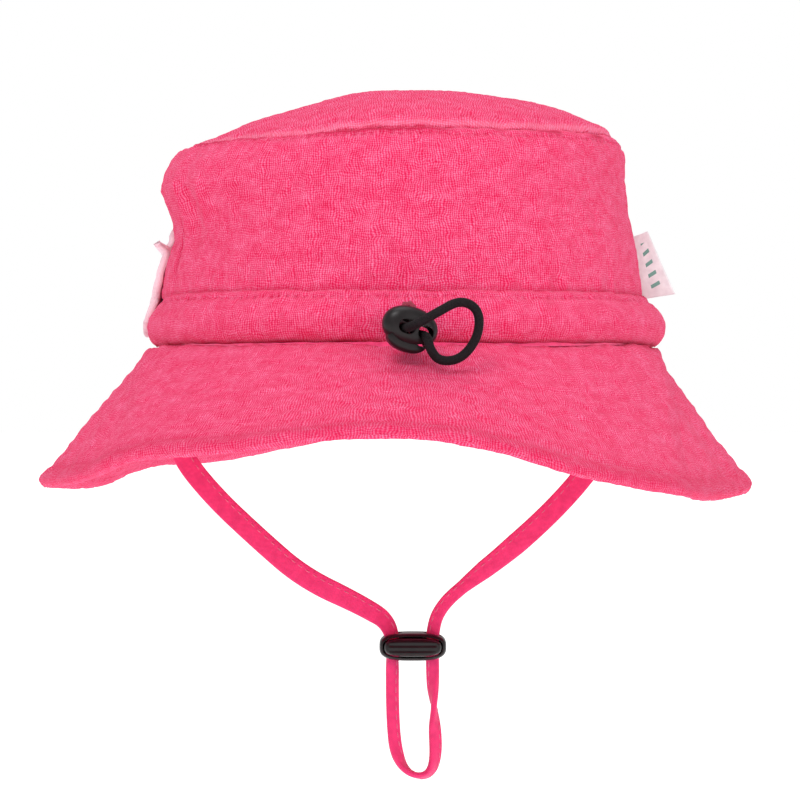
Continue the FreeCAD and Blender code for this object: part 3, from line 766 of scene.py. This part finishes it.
def make_cord_lock():
    """A bean-shaped shell, thin at its rim, and the button's curved lip that stands out below it."""
    up = np.array(joints["cord_button_press"]["axis"], float)
    level = math.hypot(up[0], up[1])
    through = np.array([-up[1], up[0], 0.0]) / level
    side = np.cross(up, through) * -1
    middle = (-1.3, 0.9)
    spread, half_width, voxel = 3.0, 2.35, 0.17
    holes = through_holes(spread, 0.5, half_width, 1.95)
    cavity = pebble((*middle, 0), (7.2, 5.15, 2.95), 2.2, 4.0)
    mouth = prism(oval_hole((-1.1, -4.6), 6.0, 3.4), -2.75, 2.75)
    outside = pebble((*middle, 0), (8.35, 5.95, 4.2), 2.15, 2.5)
    shell = carved("cord_lock_shell", outside, [cavity, mouth] + holes, voxel)
    slots = through_holes(spread, -0.6, half_width, 3.0)
    button = carved("cord_lock_button", pebble((-1.15, -1.75, 0), (6.3, 4.75, 2.6), 2.5, 5.0), slots, voxel)
    place = (CORD_LOCK_PLACE, side, up, through)
    shell = placed_lock_piece("cord_lock_shell", shell, *place, "cord_toggle_body", "cord_toggle_shell")
    button = placed_lock_piece("cord_lock_button", button, *place, "cord_button_body", "cord_toggle_plunger")
    return [shell, button]


def make_chin_lock():
    """A pill-shaped shell with a rolled rim, and its button, whose face has three low grip ridges."""
    up = np.array(joints["chin_button_press"]["axis"], float)
    through, side = np.array([0.0, 0.0, 1.0]), np.array([1.0, 0.0, 0.0])

    def pill(half, low, high):
        """A rounded block whose section across the press direction has nearly round ends."""
        vertices, faces = pebble((0, 0, 0), (half[0], half[1], 1.0), 3.0, 7.0)
        height = low + (vertices[:, 2] + 1) / 2 * (high - low)
        return np.column_stack([vertices[:, 0], height, vertices[:, 1]]), [face[::-1] for face in faces]

    spread, half_width, voxel = 6.3, 2.9, 0.19
    holes = through_holes(spread, 0.25, half_width, 2.9)
    cavity = pill((9.5, 3.3), -9.0, 7.8)
    shell = carved("chin_lock_shell", pill((10.7, 4.45), -5.9, 8.9), [cavity] + holes, voxel)
    slots = through_holes(spread, -1.2, half_width, 4.0)
    button = carved("chin_lock_button", pill((9.15, 2.95), -8.3, 4.3), slots, voxel)
    for vertex in button.vertices:
        if vertex.co.y < -7.2 and abs(vertex.co.x) < 7.6:
            vertex.co.y -= 0.28 * (0.5 + 0.5 * math.cos(2 * math.pi * vertex.co.z / 1.7))
    place = (CHIN_LOCK_PLACE, side, up, through)
    shell = placed_lock_piece("chin_lock_shell", shell, *place, "chin_toggle_body", "chin_toggle_shell")
    button = placed_lock_piece("chin_lock_button", button, *place, "chin_button_body", "chin_toggle_plunger")
    return [shell, button]


make_drawcord(make_cord_lock())
make_strap(make_chin_lock())


# ---------------------------------------------------------------- crown
def round_the_hat(outline, angles):
    """Rings round the hat: outline is (offset from the seam's ellipse, height) along the cloth."""
    turn = angles[:, None]
    offset, height = outline[None, :, 0], outline[None, :, 1]
    x = (SEAM_HALF_WIDTH + offset) * np.cos(turn)
    y = (SEAM_HALF_LENGTH + offset) * np.sin(turn)
    return np.stack([x, y, height + 0 * turn], -1)


# How far the sides lean out of the true oval as (height, push), from how the cloth has settled.
RIGHT_PUSH = [(16, 0), (30, 0.2), (46, -0.8), (54, -1.1), (58, 0), (62, 1.2), (65, 2.8), (68, 1.6),
              (72, -0.2), (79, 0)]
LEFT_PUSH = [(16, 0), (24, 0.4), (34, -1.0), (40, 0.6), (50, 5.0), (56, 4.4), (61, 2.9), (65, 2.3), (68, 0.8),
             (72, -1.8), (79, -0.6)]


def settled(points):
    """The crown's points, with its left side slumped and its right shoulder square."""
    x, z = points[..., 0], points[..., 2]
    out = points.copy()
    right = np.interp(z, *np.array(RIGHT_PUSH, float).T) * smooth_step(x, 30, 66)
    left = np.interp(z, *np.array(LEFT_PUSH, float).T) * smooth_step(-x, 30, 66)
    out[..., 0] += right - left
    high = smooth_step(z, 60, 70)
    lift = 1.2 * smooth_step(x, 28, 54) - 3.3 * smooth_step(-x, 6, 38) - 0.3
    out[..., 2] += lift * high
    return out


def arc_length(surface):
    """How far round the hat each point lies."""
    return cloth_coordinates(surface)[..., 0]


def dashes(along, pitch, width):
    """A row of dashes, 1 in the middle of each."""
    from_middle = (along % pitch) - pitch / 2
    return np.exp(-(from_middle / width) ** 2)


def pile(surface, seed):
    """Small tufts and gentle dents of towelling."""
    fine = 0.16 * noise(surface, 1.3, seed) + 0.15 * noise(surface, 2.4, seed + 1)
    return fine + 0.22 * noise(surface, 9.0, seed + 2) + 0.45 * noise(surface, 24.0, seed + 3)


def puckers(surface, seed, cell=3.6):
    """The gathers that a row of stitches pulls into the cloth beside it."""
    squeezed = surface * np.array([1.0, 1.0, 0.25])
    return noise(squeezed, cell, seed) + 0.5 * noise(squeezed, cell * 0.5, seed + 7)


def make_wall(side, first, last):
    angles = np.radians(np.linspace(first + 0.05, last - 0.05, 420))
    outline = smooth_curve(WALL_OUTLINE, 92)
    surface = settled(round_the_hat(outline, angles))
    degrees = np.degrees(angles)[:, None] % 360
    nominal = outline[:, 1][None, :] + 0 * degrees
    along = arc_length(surface)
    lift = pile(surface, 11)
    to_tip, to_band = TIP_SEAM - nominal, nominal - BAND_SEAM
    gathers = puckers(surface, 31)
    lift += 0.55 * gathers * hump(to_tip, 2.6, 3.0) + 0.60 * gathers * hump(to_band, 2.4, 3.4)
    lift -= 0.9 * hump(to_tip, 0.0, 0.9)
    stitch_line = hump(to_tip, 2.6, 0.55)
    here_and_there = smooth_step(noise(surface * np.array([1, 1, 0.1]), 9.0, 33), -0.1, 0.35)
    lift -= (0.30 + 0.5 * dashes(along, 3.1, 0.9)) * stitch_line
    # Creases and soft folds at the back left, and the side seams' two ridges.
    crease = hump(degrees, 199.6, 1.3) * hump(nominal, 31, 9)
    lift -= 2.5 * crease
    lift += 2.1 * hump(degrees, 204.5, 2.6) * hump(nominal, 42, 12)
    lift += 1.6 * hump(degrees, 215.5 + 0.1 * (nominal - 44), 2.4) * hump(nominal, 44, 9)
    lift -= 1.4 * hump(degrees, 210.0, 2.2) * hump(nominal, 44, 11)
    lift += 0.5 * hump(degrees, 330.0, 9.0) * hump(nominal, 30, 12)
    edge = np.minimum(np.abs(degrees - first % 360), np.abs(degrees - last % 360))
    edge = np.minimum(edge, 360 - edge) * math.radians(1) * 76
    lift += 0.75 * hump(edge, 2.1, 1.2) + 0.45 * hump(edge, 5.6, 1.4) - 1.3 * hump(edge, 0.0, 0.7)
    # Painted shade here and there in the tip seam's groove, along the stitch dimples, in the back-left
    # crease, at the side seams and at the band seam; a painted highlight on the tip seam's ridge.
    shade = 0.95 * hump(to_tip, 1.2, 0.75) * here_and_there - 0.30 * hump(to_tip, -0.2, 0.6)
    shade += 0.35 * dashes(along, 3.1, 0.8) * stitch_line
    shade += 0.85 * crease + 0.5 * hump(edge, 0.0, 0.6) + 0.35 * hump(to_band, 0.2, 0.9)
    piece = cloth("terry_wall_" + side, surface, lift, TERRY - 0.2, TERRY_FINISH, shade=shade)
    seated(piece, "hat", "terry", "crown_wall_" + side)
    inner = flat_lining(outline, TERRY + 0.35)
    inside = settled(round_the_hat(inner, angles[::3]))
    wrinkles = 0.25 * noise(inside * np.array([1, 1, 0.4]), 7.0, 51)
    piece = cloth("lining_wall_" + side, inside, wrinkles - 0.1, LINING, LINING_FINISH)
    seated(piece, "hat", "lining", "crown_lining_" + side)


def flat_lining(outline, depth):
    """An outline of fewer points, moved inwards, that ends a little short of the seam above."""
    slope = np.gradient(outline, axis=0)
    slope /= np.linalg.norm(slope, axis=1, keepdims=True)
    moved = outline + np.stack([-slope[:, 1], slope[:, 0]], 1) * depth
    kept = moved[(moved[:, 1] > 17.4) & (moved[:, 1] < 63.5)]
    return resampled(kept, 40)


def tip_surface(count, depth):
    """The domed tip as an even grid over its oval, at a depth under its outer face."""
    side = np.linspace(-1, 1, count)
    u, v = np.meshgrid(side, side, indexing="ij")
    x = u * np.sqrt(1 - v * v / 2)
    y = v * np.sqrt(1 - u * u / 2)
    outline = smooth_curve(TIP_OUTLINE, 200)
    radius = np.hypot(x, y) * TIP_HALF_WIDTH
    height = np.interp(radius, outline[:, 0], outline[:, 1]) - depth
    grid = np.stack([x * TIP_HALF_WIDTH, y * TIP_HALF_LENGTH, height], -1)
    return settled(grid), radius


def make_tip():
    surface, radius = tip_surface(196, 0.0)
    inwards = TIP_HALF_WIDTH - radius
    angle = np.arctan2(surface[..., 1], surface[..., 0])
    along = angle * 70.0
    gathers = puckers(surface * np.array([1, 1, 0.1]), 61, 4.2)
    lift = pile(surface, 21) + 0.6 * gathers * hump(inwards, 2.2, 3.4)
    lift -= 0.7 * hump(inwards, 0.0, 0.7)
    lift += 0.45 * hump(inwards, 1.9, 1.1)
    lift -= 0.35 * dashes(along, 3.1, 0.8) * hump(inwards, 3.2, 0.7)
    # Painted shade in the stitch dimples, and a painted highlight on the seam's ridge at the tip's rim.
    shade = 0.20 * dashes(along, 3.1, 0.8) * hump(inwards, 3.4, 0.6) - 0.38 * hump(inwards, 0.7, 0.6)
    flat = surface.copy()
    flat[..., 2] = 0
    piece = cloth("terry_tip", surface, lift, TERRY - 0.2, TERRY_FINISH, shade=shade, flat=flat)
    seated(piece, "hat", "terry", "crown_tip")
    inside, radius = tip_surface(110, 2.5)
    wrinkles = 0.3 * noise(inside, 10.0, 71)
    flat = inside.copy()
    flat[..., 2] = 0
    inside = inside * np.array([0.97, 0.97, 1.0])
    piece = cloth("lining_tip", inside, wrinkles, LINING, LINING_FINISH, flat=flat)
    seated(piece, "hat", "lining", "crown_tip_lining")


SLOT_X, SLOT_MIDDLE, SLOT_HALF_HEIGHT, SLOT_HALF_WIDTH = 1.4, 6.85, 4.55, 1.65


def make_band():
    """The strip round the head, gathered on its elastic, with a stitched slot at the back."""
    rows = 960
    angles = np.linspace(0, 2 * math.pi, rows, endpoint=False) + math.radians(150)
    outline = smooth_curve(BAND_OUTLINE, 44)
    surface = round_the_hat(outline, angles)
    surface[..., 0] += 1.2 * smooth_step(-surface[..., 0], 60, 80)
    degrees = np.degrees(angles)[:, None] % 360
    nominal = outline[:, 1][None, :] + 0 * degrees
    along = arc_length(surface)
    squeezed = surface * np.array([1.0, 1.0, 0.30])
    gathers = noise(squeezed, 5.5, 81) + 0.6 * noise(squeezed, 2.9, 82)
    near_slot = 0.55 + 0.45 * hump(degrees, 270.0, 28.0)
    lift = pile(surface, 41) * 0.9 + 0.55 * gathers * near_slot * smooth_step(nominal, 0.5, 4.0)
    lift += 0.45 * puckers(surface, 91, 3.0) * hump(nominal, 14.6, 2.0)
    stitch_line = hump(nominal + 0.35 * noise(surface, 14.0, 95), 14.4, 0.55)
    lift -= (0.28 + 0.55 * dashes(along, 3.0, 0.85)) * stitch_line
    lift -= 0.7 * hump(nominal, 0.2, 0.9) * (1 + 0.6 * noise(surface, 5.0, 96))
    lift -= 0.5 * hump(nominal, 16.6, 0.7)
    lift += 0.9 * hump(degrees, 345.0, 12.0) * hump(nominal, 8.0, 4.0)
    # Painted shade along the stitch dimples, in the brim seam's groove and at the top seam; just below the
    # top seam a painted highlight takes some of it away.
    shade = 0.60 * dashes(along, 3.0, 0.8) * stitch_line * (0.6 + 0.6 * noise(surface, 11.0, 97))
    shade += 0.8 * hump(nominal, 0.1, 0.9) * (1 + 0.7 * noise(surface, 6.0, 98))
    shade += 0.3 * hump(nominal, 16.7, 0.6)
    shade -= 0.35 * hump(nominal, 15.6, 0.7) * (1 + noise(surface, 7.0, 94))
    # The cloth turns in at the slot, with painted shade inside it, and stands a little proud round it.
    across = (surface[..., 0] - SLOT_X) / SLOT_HALF_WIDTH
    up = (nominal - SLOT_MIDDLE) / SLOT_HALF_HEIGHT
    slot = (np.abs(across) ** 2.4 + np.abs(up) ** 4) ** 0.3
    slot = np.where(surface[..., 1] < 0, slot, 9.0)
    hollow = 1 - smooth_step(slot, 0.62, 1.0)
    lift += 0.35 * hump(slot, 1.5, 0.35) - 1.85 * hollow
    shade = np.clip(shade + hollow, 0, 1)
    piece = cloth("terry_band", surface, lift, TERRY - 0.05, TERRY_FINISH, wrap=True, shade=shade)
    seated(piece, "hat", "terry", "crown_band")
    outline = smooth_curve(SWEATBAND_OUTLINE, 24)
    surface = round_the_hat(outline, angles[::4])
    ripple = 0.22 * noise(surface * np.array([1, 1, 0.3]), 6.0, 99)
    piece = cloth("sweatband_tape", surface, ripple - 0.1, SWEATBAND, SWEATBAND_FINISH, wrap=True)
    seated(piece, "hat", "sweatband", "sweatband")


make_wall("back", 180.0, 360.0)
make_wall("front", 0.0, 180.0)
make_tip()
make_band()


# ---------------------------------------------------------------- brim
def brim_drop(angle):
    less_at_ends = (BRIM_DROP_SIDE - BRIM_DROP_END) * np.sin(angle) ** 6
    return BRIM_DROP_SIDE - less_at_ends - BRIM_SKEW * np.sin(2 * angle)


def brim_run(angle):
    at_side = math.sqrt(BRIM_WIDTH ** 2 - BRIM_DROP_SIDE ** 2)
    at_end = math.sqrt(BRIM_WIDTH ** 2 - BRIM_DROP_END ** 2)
    even = at_side + (at_end - at_side) * np.sin(angle) ** 2
    return (even + np.sqrt(BRIM_WIDTH ** 2 - brim_drop(angle) ** 2)) / 2


# How far out the brim's sides hang, as (even oval, as it hangs): steep below the band, and wider on the left.
BRIM_SIDES = [(-122, -119.6), (-117.4, -114.9), (-108.8, -105.2), (-100.5, -97.5), (-92.5, -89.6),
              (-87.0, -84.6), (-80, -80), (80, 80), (87.7, 83.1), (91.2, 86.1), (94.7, 88.8),
              (97.9, 91.5), (100.9, 93.9),
              (105.0, 97.4), (109.5, 102.3), (115.0, 108.4), (118.5, 111.8), (122, 114.8)]


def brim_surface(angles, depths, shares):
    """The brim as a grid of points. Each column has a depth below its top face and a share of its width."""
    turn = angles[:, None]
    drop, run = brim_drop(turn), brim_run(turn)
    slope = np.arctan2(drop, run)
    share = shares[None, :]
    reach = BRIM_START + (BRIM_BEND - BRIM_START + run) * share
    past = np.maximum(reach - BRIM_BEND, 0)
    round_off = 2.2
    eased = np.sqrt(past ** 2 + round_off ** 2) - round_off
    flare = 1.3 * smooth_step(share, 0.86, 1.0)
    all_eased = np.sqrt(run ** 2 + round_off ** 2) - round_off
    height = BRIM_SEAM_HEIGHT - eased * (drop / run) * (run / all_eased)
    square = smooth_step(share, 0.0, 0.2)
    height = height + flare - depths * (1 - square + square * np.cos(slope))
    reach = reach - depths * square * np.sin(slope)
    x = (SEAM_HALF_WIDTH + reach) * np.cos(turn)
    y = (SEAM_HALF_LENGTH + reach) * np.sin(turn)
    at_side = smooth_step(np.abs(np.cos(turn)), 0.55, 0.92)
    x = x + at_side * (np.interp(x, *np.array(BRIM_SIDES, float).T) - x)
    degrees = np.degrees(turn) % 360
    # Towards its edge the brim is lifted at the front left and the back left, and droops at the back right.
    settling = 6.3 * hump(degrees, 137, 16) + 4.6 * hump(degrees, 231, 12) - 2.2 * hump(degrees, 293, 11)
    height = height + share ** 2 * settling
    return np.stack([x, y, height], -1)


EDGE_RADIUS = 2.35            # the two layers are rolled round the brim's edge and meet half way down
EDGE_SHARE = EDGE_RADIUS / BRIM_WIDTH
# Soft radial folds, where the towelling bends round to the sides: (degrees, width, height).
BRIM_FOLDS = [(188, 3.5, 1.2), (197, 3.0, 1.4), (207, 3.5, 1.6), (219, 4.0, 0.9), (331, 4.0, 1.0),
              (343, 3.2, 1.4), (352, 3.0, 1.2), (172, 4.0, 0.8), (20, 4.0, 0.8), (9, 3.0, 0.7)]


def rolled_layer(columns, upper):
    """Shares and depths of the columns of one layer, whose edge turns through a quarter of a circle."""
    turn = np.radians(np.linspace(8, 96, 9))
    shares = np.concatenate([np.linspace(0, 1 - EDGE_SHARE, columns), 1 - EDGE_SHARE * (1 - np.sin(turn))])
    depths = np.concatenate([np.zeros(columns), EDGE_RADIUS * (1 - np.cos(turn))])
    return shares, depths if upper else 2 * EDGE_RADIUS - depths


def make_brim_half(side, first, last):
    angles = np.radians(np.linspace(first + 0.03, last - 0.03, 620))
    degrees = np.degrees(angles)[:, None] % 360
    shares, depths = rolled_layer(88, True)
    share = shares[None, :] + 0 * degrees
    surface = brim_surface(angles, depths, shares)
    along, out = arc_length(surface), share * BRIM_WIDTH
    rows = np.sin(2 * math.pi * (out + 0.9 * noise(surface, 12.0, 111)) / 5.2)
    lift = pile(surface, 101) + 0.13 * rows * smooth_step(share, 0.05, 0.2)
    lift += 0.5 * puckers(surface, 121, 3.4) * hump(out, 2.5, 3.0) - 0.6 * hump(out, 0.0, 1.2)
    for fold, width, height in BRIM_FOLDS:
        lift += height * hump(degrees, fold + 9 * (share - 0.5), width) * hump(share, 0.62, 0.33)
    to_edge = (1 - share) * BRIM_WIDTH
    lift -= 0.30 * hump(to_edge, 0.0, 0.5) + 0.22 * hump(to_edge, 6.0, 0.5) * (0.4 + dashes(along, 3.2, 0.9))
    edge = np.minimum(np.abs(degrees - first % 360), np.abs(degrees - last % 360))
    edge = np.minimum(edge, 360 - edge) * math.radians(1) * 100
    lift += 0.45 * hump(edge, 2.2, 1.3) - 0.9 * hump(edge, 0.0, 0.7)
    # Painted shade in the brim seam's ragged groove, at the half's end seams, along the stitch dimples near
    # the edge and along the outer edge of the back half.
    ragged = 1 + 0.5 * noise(surface, 6.0, 113)
    shade = 0.95 * hump(out, 0.4, 1.7) * ragged + 0.4 * hump(edge, 0.0, 0.6)
    shade += 0.15 * hump(to_edge, 6.0, 0.5) * dashes(along, 3.2, 0.9)
    shade += 0.30 * hump(to_edge, 3.0, 5.0) * smooth_step(-np.sin(angles)[:, None], -0.2, 0.6)
    piece = cloth("terry_brim_top_" + side, surface, lift, TERRY - 0.1, TERRY_FINISH, flip=True, shade=shade)
    seated(piece, "hat", "terry", "brim_top_" + side)
    middle = brim_surface(angles[::5], 2.05, np.linspace(0, 0.93, 26))
    level = np.zeros(middle.shape[:2])
    piece = cloth("interlining_" + side, middle, level, 0.6, INTERLINING_FINISH, flip=True)
    seated(piece, "hat", "interlining", "brim_interlining_" + side)
    shares, depths = rolled_layer(48, False)
    below = brim_surface(angles[::2], depths, shares)
    to_edge = (1 - shares[None, :]) * BRIM_WIDTH + 0 * degrees[::2]
    lift = pile(below, 101) - 0.3 * hump(to_edge, 6.0, 0.7) - 0.30 * hump(to_edge, 0.0, 0.5)
    # Painted shade along the stitch groove 6 mm in from the edge.
    piece = cloth("terry_brim_underside_" + side, below, lift, TERRY - 0.2, SHADED_UNDERSIDE_FINISH,
                  shade=0.2 * hump(to_edge, 6.0, 0.7))
    seated(piece, "hat", "terry", "brim_underside_" + side)


make_brim_half("back", 180.0, 360.0)
make_brim_half("front", 0.0, 180.0)


# ---------------------------------------------------------------- stitched details
def make_buttonhole():
    """Dense stitches all round the slot, their ends a little ragged."""
    lines = []
    count = 64
    offsets, heights = np.array(BAND_OUTLINE).T
    for i in range(count):
        turn = 2 * math.pi * i / count
        ragged = 0.18 * math.sin(7.3 * i)
        ring = []
        for reach in (0.15, 0.6, 1.05, 1.45 + ragged):
            wide, high = SLOT_HALF_WIDTH + reach - 0.3, SLOT_HALF_HEIGHT + reach - 0.3
            x = SLOT_X + wide * math.copysign(abs(math.cos(turn)) ** 0.8, math.cos(turn))
            z = SLOT_MIDDLE + high * math.copysign(abs(math.sin(turn)) ** 0.8, math.sin(turn))
            bulge = 0.30 * math.sin(math.pi * min(1.0, reach / 1.5))
            offset = np.interp(z, heights, offsets)
            ring.append((x, -(SEAM_HALF_LENGTH + offset) - 0.25 - bulge, z))
        lines.append(resampled(np.array(ring), 5))
    piece = make_threads("buttonhole_threads", lines, 0.24, CRIMSON_THREAD)
    seated(piece, "hat", "thread", "buttonhole_stitching")


def make_bar_tacks():
    """Two patches of close zigzag stitches that hold the strap's ends to the sweatband."""
    lines = []
    low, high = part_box("strap_bar_tacks")
    for side in (-1, 1):
        x = side * (high.x / MM - 0.35)
        for i in range(9):
            z = low.z / MM + 0.2 + 0.22 * i
            reach = STRAP_WIDTH / 2 - 0.1
            y = np.linspace(-reach, reach, 9)
            wave = 0.12 * np.sin(y * 4 + i)
            lines.append(np.stack([x + 0.1 * np.cos(y * 2), y, z + wave], 1))
    piece = make_threads("bar_tack_threads", lines, 0.2, CRIMSON_THREAD)
    seated(piece, "hat", "thread", "strap_bar_tacks")


# Its top at the seam, its top and bottom at the fold, and its bottom at the seam.
LABEL_CORNERS = [(73.6, 35.6), (78.3, 37.4), (87.1, 17.4), (76.6, 15.6)]
LABEL_WIDTH, LABEL_LENGTH, LABEL_THICKNESS = 9.2, 21.0, 0.84


def make_label():
    """A ribbon folded into a tab: its free edge is the fold, and it droops from the side seam."""
    rows, columns = 64, 40
    down = np.linspace(0, 1, rows)[:, None]
    outwards = np.linspace(0, 1, columns)[None, :]
    corners = np.array(LABEL_CORNERS)
    top = corners[0] + (corners[1] - corners[0]) * outwards[..., None]
    low = corners[3] + (corners[2] - corners[3]) * outwards[..., None]
    plane = top + (low - top) * down[..., None]
    wave = 0.45 * np.sin(math.pi * down) * outwards ** 2 - 0.25 * np.sin(2 * math.pi * down + 0.6) * outwards
    surface = np.stack([plane[..., 0], wave - LABEL_THICKNESS / 2, plane[..., 1]], -1)
    rounded = -0.38 * smooth_step(outwards + 0 * down, 0.93, 1.0) ** 2
    flat = np.zeros(surface.shape)
    flat[..., 0] = outwards * LABEL_WIDTH
    flat[..., 1] = down * LABEL_LENGTH
    piece = cloth("label_tab", surface, rounded, LABEL_THICKNESS, LABEL_FINISH, flat=flat)
    seated(piece, "hat", "label", "side_label")


FLOWER_ANGLE, FLOWER_TILT, FLOWER_HEIGHT = 169.0, 16.5, 19.8
PETALS = 5
CURL_ANGLE, CURL_REACH = 48, 17.2          # where one petal's tip has curled away from the wall
# The felt lies on the wall and the band and bridges the groove between them: (offset, height).
FELT_OUTLINE = [(0.2, -1.0), (1.2, 5.0), (0.8, 8.0), (-0.6, 11.5), (-2.4, 15.7), (-4.2, 21.4), (-5.5, 29.8),
                (-6.0, 35.8), (-8.2, 41.0)]


def on_the_wall(across, up, out):
    """Points of the flower, laid on the hat: across to the back, up from its middle and out of the wall."""
    angle = math.radians(FLOWER_ANGLE) + across / SEAM_HALF_WIDTH
    tilt = math.radians(FLOWER_TILT)
    height = FLOWER_HEIGHT + up * math.cos(tilt)
    table = np.array(FELT_OUTLINE)
    offset = np.interp(height, table[:, 1], table[:, 0]) + out * math.cos(tilt)
    x = (SEAM_HALF_WIDTH + offset) * np.cos(angle)
    y = (SEAM_HALF_LENGTH + offset) * np.sin(angle)
    return settled(np.stack([x, y, height + out * math.sin(tilt)], -1))


def make_petals(name, node, radius, distance, turn, low, cup, curl=0.0, thickness=1.0):
    """A layer of round petals with lifted edges and a crease down each, and one tip curled up by curl."""
    around = np.linspace(0, 2 * math.pi, 260, endpoint=False)[:, None]
    share = np.linspace(0.02, 1, 40)[None, :]
    sector = 2 * math.pi / PETALS
    from_axis = (around - math.radians(turn) + sector / 2) % sector - sector / 2
    reach = distance * np.cos(from_axis)
    reach = reach + np.sqrt(np.maximum(radius ** 2 - (distance * np.sin(from_axis)) ** 2, 0.3))
    r = reach * share
    across, up = r * np.cos(around), r * np.sin(around)
    out = low + cup * share ** 3 - 0.45 * hump(from_axis, 0.0, 0.07) * share * (1.2 - share)
    out = out + 0.25 * np.sin(3 * around + 1.0) * share ** 2
    curled = curl * hump(around, math.radians(CURL_ANGLE), 0.16) * hump(r, CURL_REACH, 2.2)
    grid = on_the_wall(across, up, out + curled)
    flat = np.stack([across, up, 0 * across], -1)
    fuzz = 0.08 * noise(grid, 1.2, 141)
    piece = cloth(name, grid, fuzz, thickness, FELT_FINISH, wrap=True, flip=True, flat=flat)
    seated(piece, "hat", "flower_felt", node)


def make_flower_centre():
    """A round felt button, gathered at its rim."""
    around = np.linspace(0, 2 * math.pi, 96, endpoint=False)[:, None]
    share = np.linspace(0.02, 1, 26)[None, :]
    radius = 5.0 * np.sin(share * math.pi / 2) * (1 + 0.035 * np.cos(14 * around) * share ** 3)
    out = 2.5 + 1.9 * np.cos(share * math.pi / 2) ** 0.8 + 0 * around
    grid = on_the_wall(radius * np.cos(around), radius * np.sin(around), out)
    piece = cloth("flower_button", grid, 0.1 * noise(grid, 1.2, 151), 0.8, FELT_FINISH, wrap=True, flip=True)
    seated(piece, "hat", "flower_felt", "flower_centre")


make_buttonhole()
make_bar_tacks()
make_label()
make_petals("flower_petals_outer", "flower_outer_petals", 9.0, 10.6, 20.0, 1.0, 0.7, curl=4.6, thickness=2.3)
make_petals("flower_petals_inner", "flower_inner_petals", 6.0, 6.4, 56.0, 2.2, 0.3)
make_flower_centre()


# ---------------------------------------------------------------- springs
SPRING_RADIUS, SPRING_WIRE, SPRING_KEEP = 1.9, 0.18, 0.42


def make_spring(lock, turns):
    """A coil spring in the place of its lock's spring, riding on the lock's body."""
    radius, wire = SPRING_RADIUS, SPRING_WIRE
    node, joint = lock + "_toggle_spring", lock + "_button_press"
    axis = joints[joint]["axis"]
    low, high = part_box(node)
    middle = np.array((low + high) / 2) / MM
    axis = np.array(axis) / np.linalg.norm(axis)
    corner = np.array(high - low) / MM
    lean = math.sqrt(max(0.0, 1 - np.max(np.abs(axis)) ** 2))
    length = abs(corner @ np.abs(axis)) - 2 * radius * lean * 1.4
    side = np.cross(axis, (1.0, 0.0, 0.0))
    side /= np.linalg.norm(side)
    other = np.cross(axis, side)
    turn = np.linspace(0, 2 * math.pi * turns, 40 * turns)
    rise = np.linspace(-length / 2 + wire, length / 2 - wire, len(turn))
    line = (middle + side * (radius * np.cos(turn))[:, None] + other * (radius * np.sin(turn))[:, None]
            + axis * rise[:, None])
    vertices, faces = tube(line, wire * np.ones((len(line), 8)), 8)
    piece = make_piece(lock + "_lock_spring", vertices, faces, SPRING_FINISH)
    seated(piece, lock + "_toggle_body", "spring_steel", node)
    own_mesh(piece)


make_spring("chin", 5)
make_spring("cord", 3)

# The cord inside the casing can't be seen, and keeps its own mesh.
mesh = frame["nodes"]["drawcord_in_casing"].data
mesh.materials.clear()
mesh.materials.append(CORD_FINISH)


# ---------------------------------------------------------------- studio
SKY_LIGHT = 0.66
LAMPS = [("key_light", (-0.45, -1.05, 1.15), 0.6, 8.5), ("fill_light", (0.9, -0.9, 0.35), 0.9, 3.0),
         ("top_light", (0.0, -0.1, 1.2), 0.8, 4.5)]


def make_studio():
    """A white floor well below the hat that glows as painted light and fades into the white beyond it, and
    soft light from all round.
    """
    floor_mesh = bpy.data.meshes.new("floor")
    size, height = 30.0, -0.32
    floor_mesh.from_pydata([(-size, -size, height), (size, -size, height), (size, size, height),
                            (-size, size, height)], [], [(0, 1, 2, 3)])
    # The floor glows white by its own emission, a painted light that also lights the hat from below.
    finish = Finish("glowing_floor_paper", Roughness=1.0, Specular_IOR_Level=0.0, Emission_Strength=0.62)
    finish.shader.inputs["Emission Color"].default_value = (1.0, 1.0, 1.0, 1)
    grain = finish.noise(finish.add("TexCoord", {}, output="Object"), 40.0, 3.0)
    finish.colour(finish.ramp(grain, [(0.3, (0.93, 0.93, 0.93)), (0.7, (0.97, 0.97, 0.97))]))
    floor_mesh.materials.append(finish.material)
    floor = shown("floor", floor_mesh)
    world = bpy.data.worlds.new("studio")
    world.use_nodes = True
    nodes, links = world.node_tree.nodes, world.node_tree.links
    seen = nodes.new("ShaderNodeLightPath").outputs["Is Camera Ray"]
    strength = nodes.new("ShaderNodeMapRange")
    links.new(seen, strength.inputs["Value"])
    strength.inputs["To Min"].default_value = SKY_LIGHT
    strength.inputs["To Max"].default_value = 1.0
    nodes["Background"].inputs[0].default_value = (1.0, 1.0, 1.0, 1)
    links.new(strength.outputs[0], nodes["Background"].inputs[1])
    bpy.context.scene.world = world
    for name, place, size, power in LAMPS:
        lamp = bpy.data.lights.new(name, "AREA")
        lamp.shape, lamp.size, lamp.energy = "SQUARE", size, power
        holder = shown(name, lamp)
        holder.location = place
        direction = np.array(place) - np.array((0.0, 0.0, 0.01))
        level = math.hypot(direction[0], direction[1])
        holder.rotation_euler = (math.atan2(level, direction[2]), 0,
                                 math.atan2(direction[0], -direction[1]) if level > 1e-6 else 0)


make_studio()
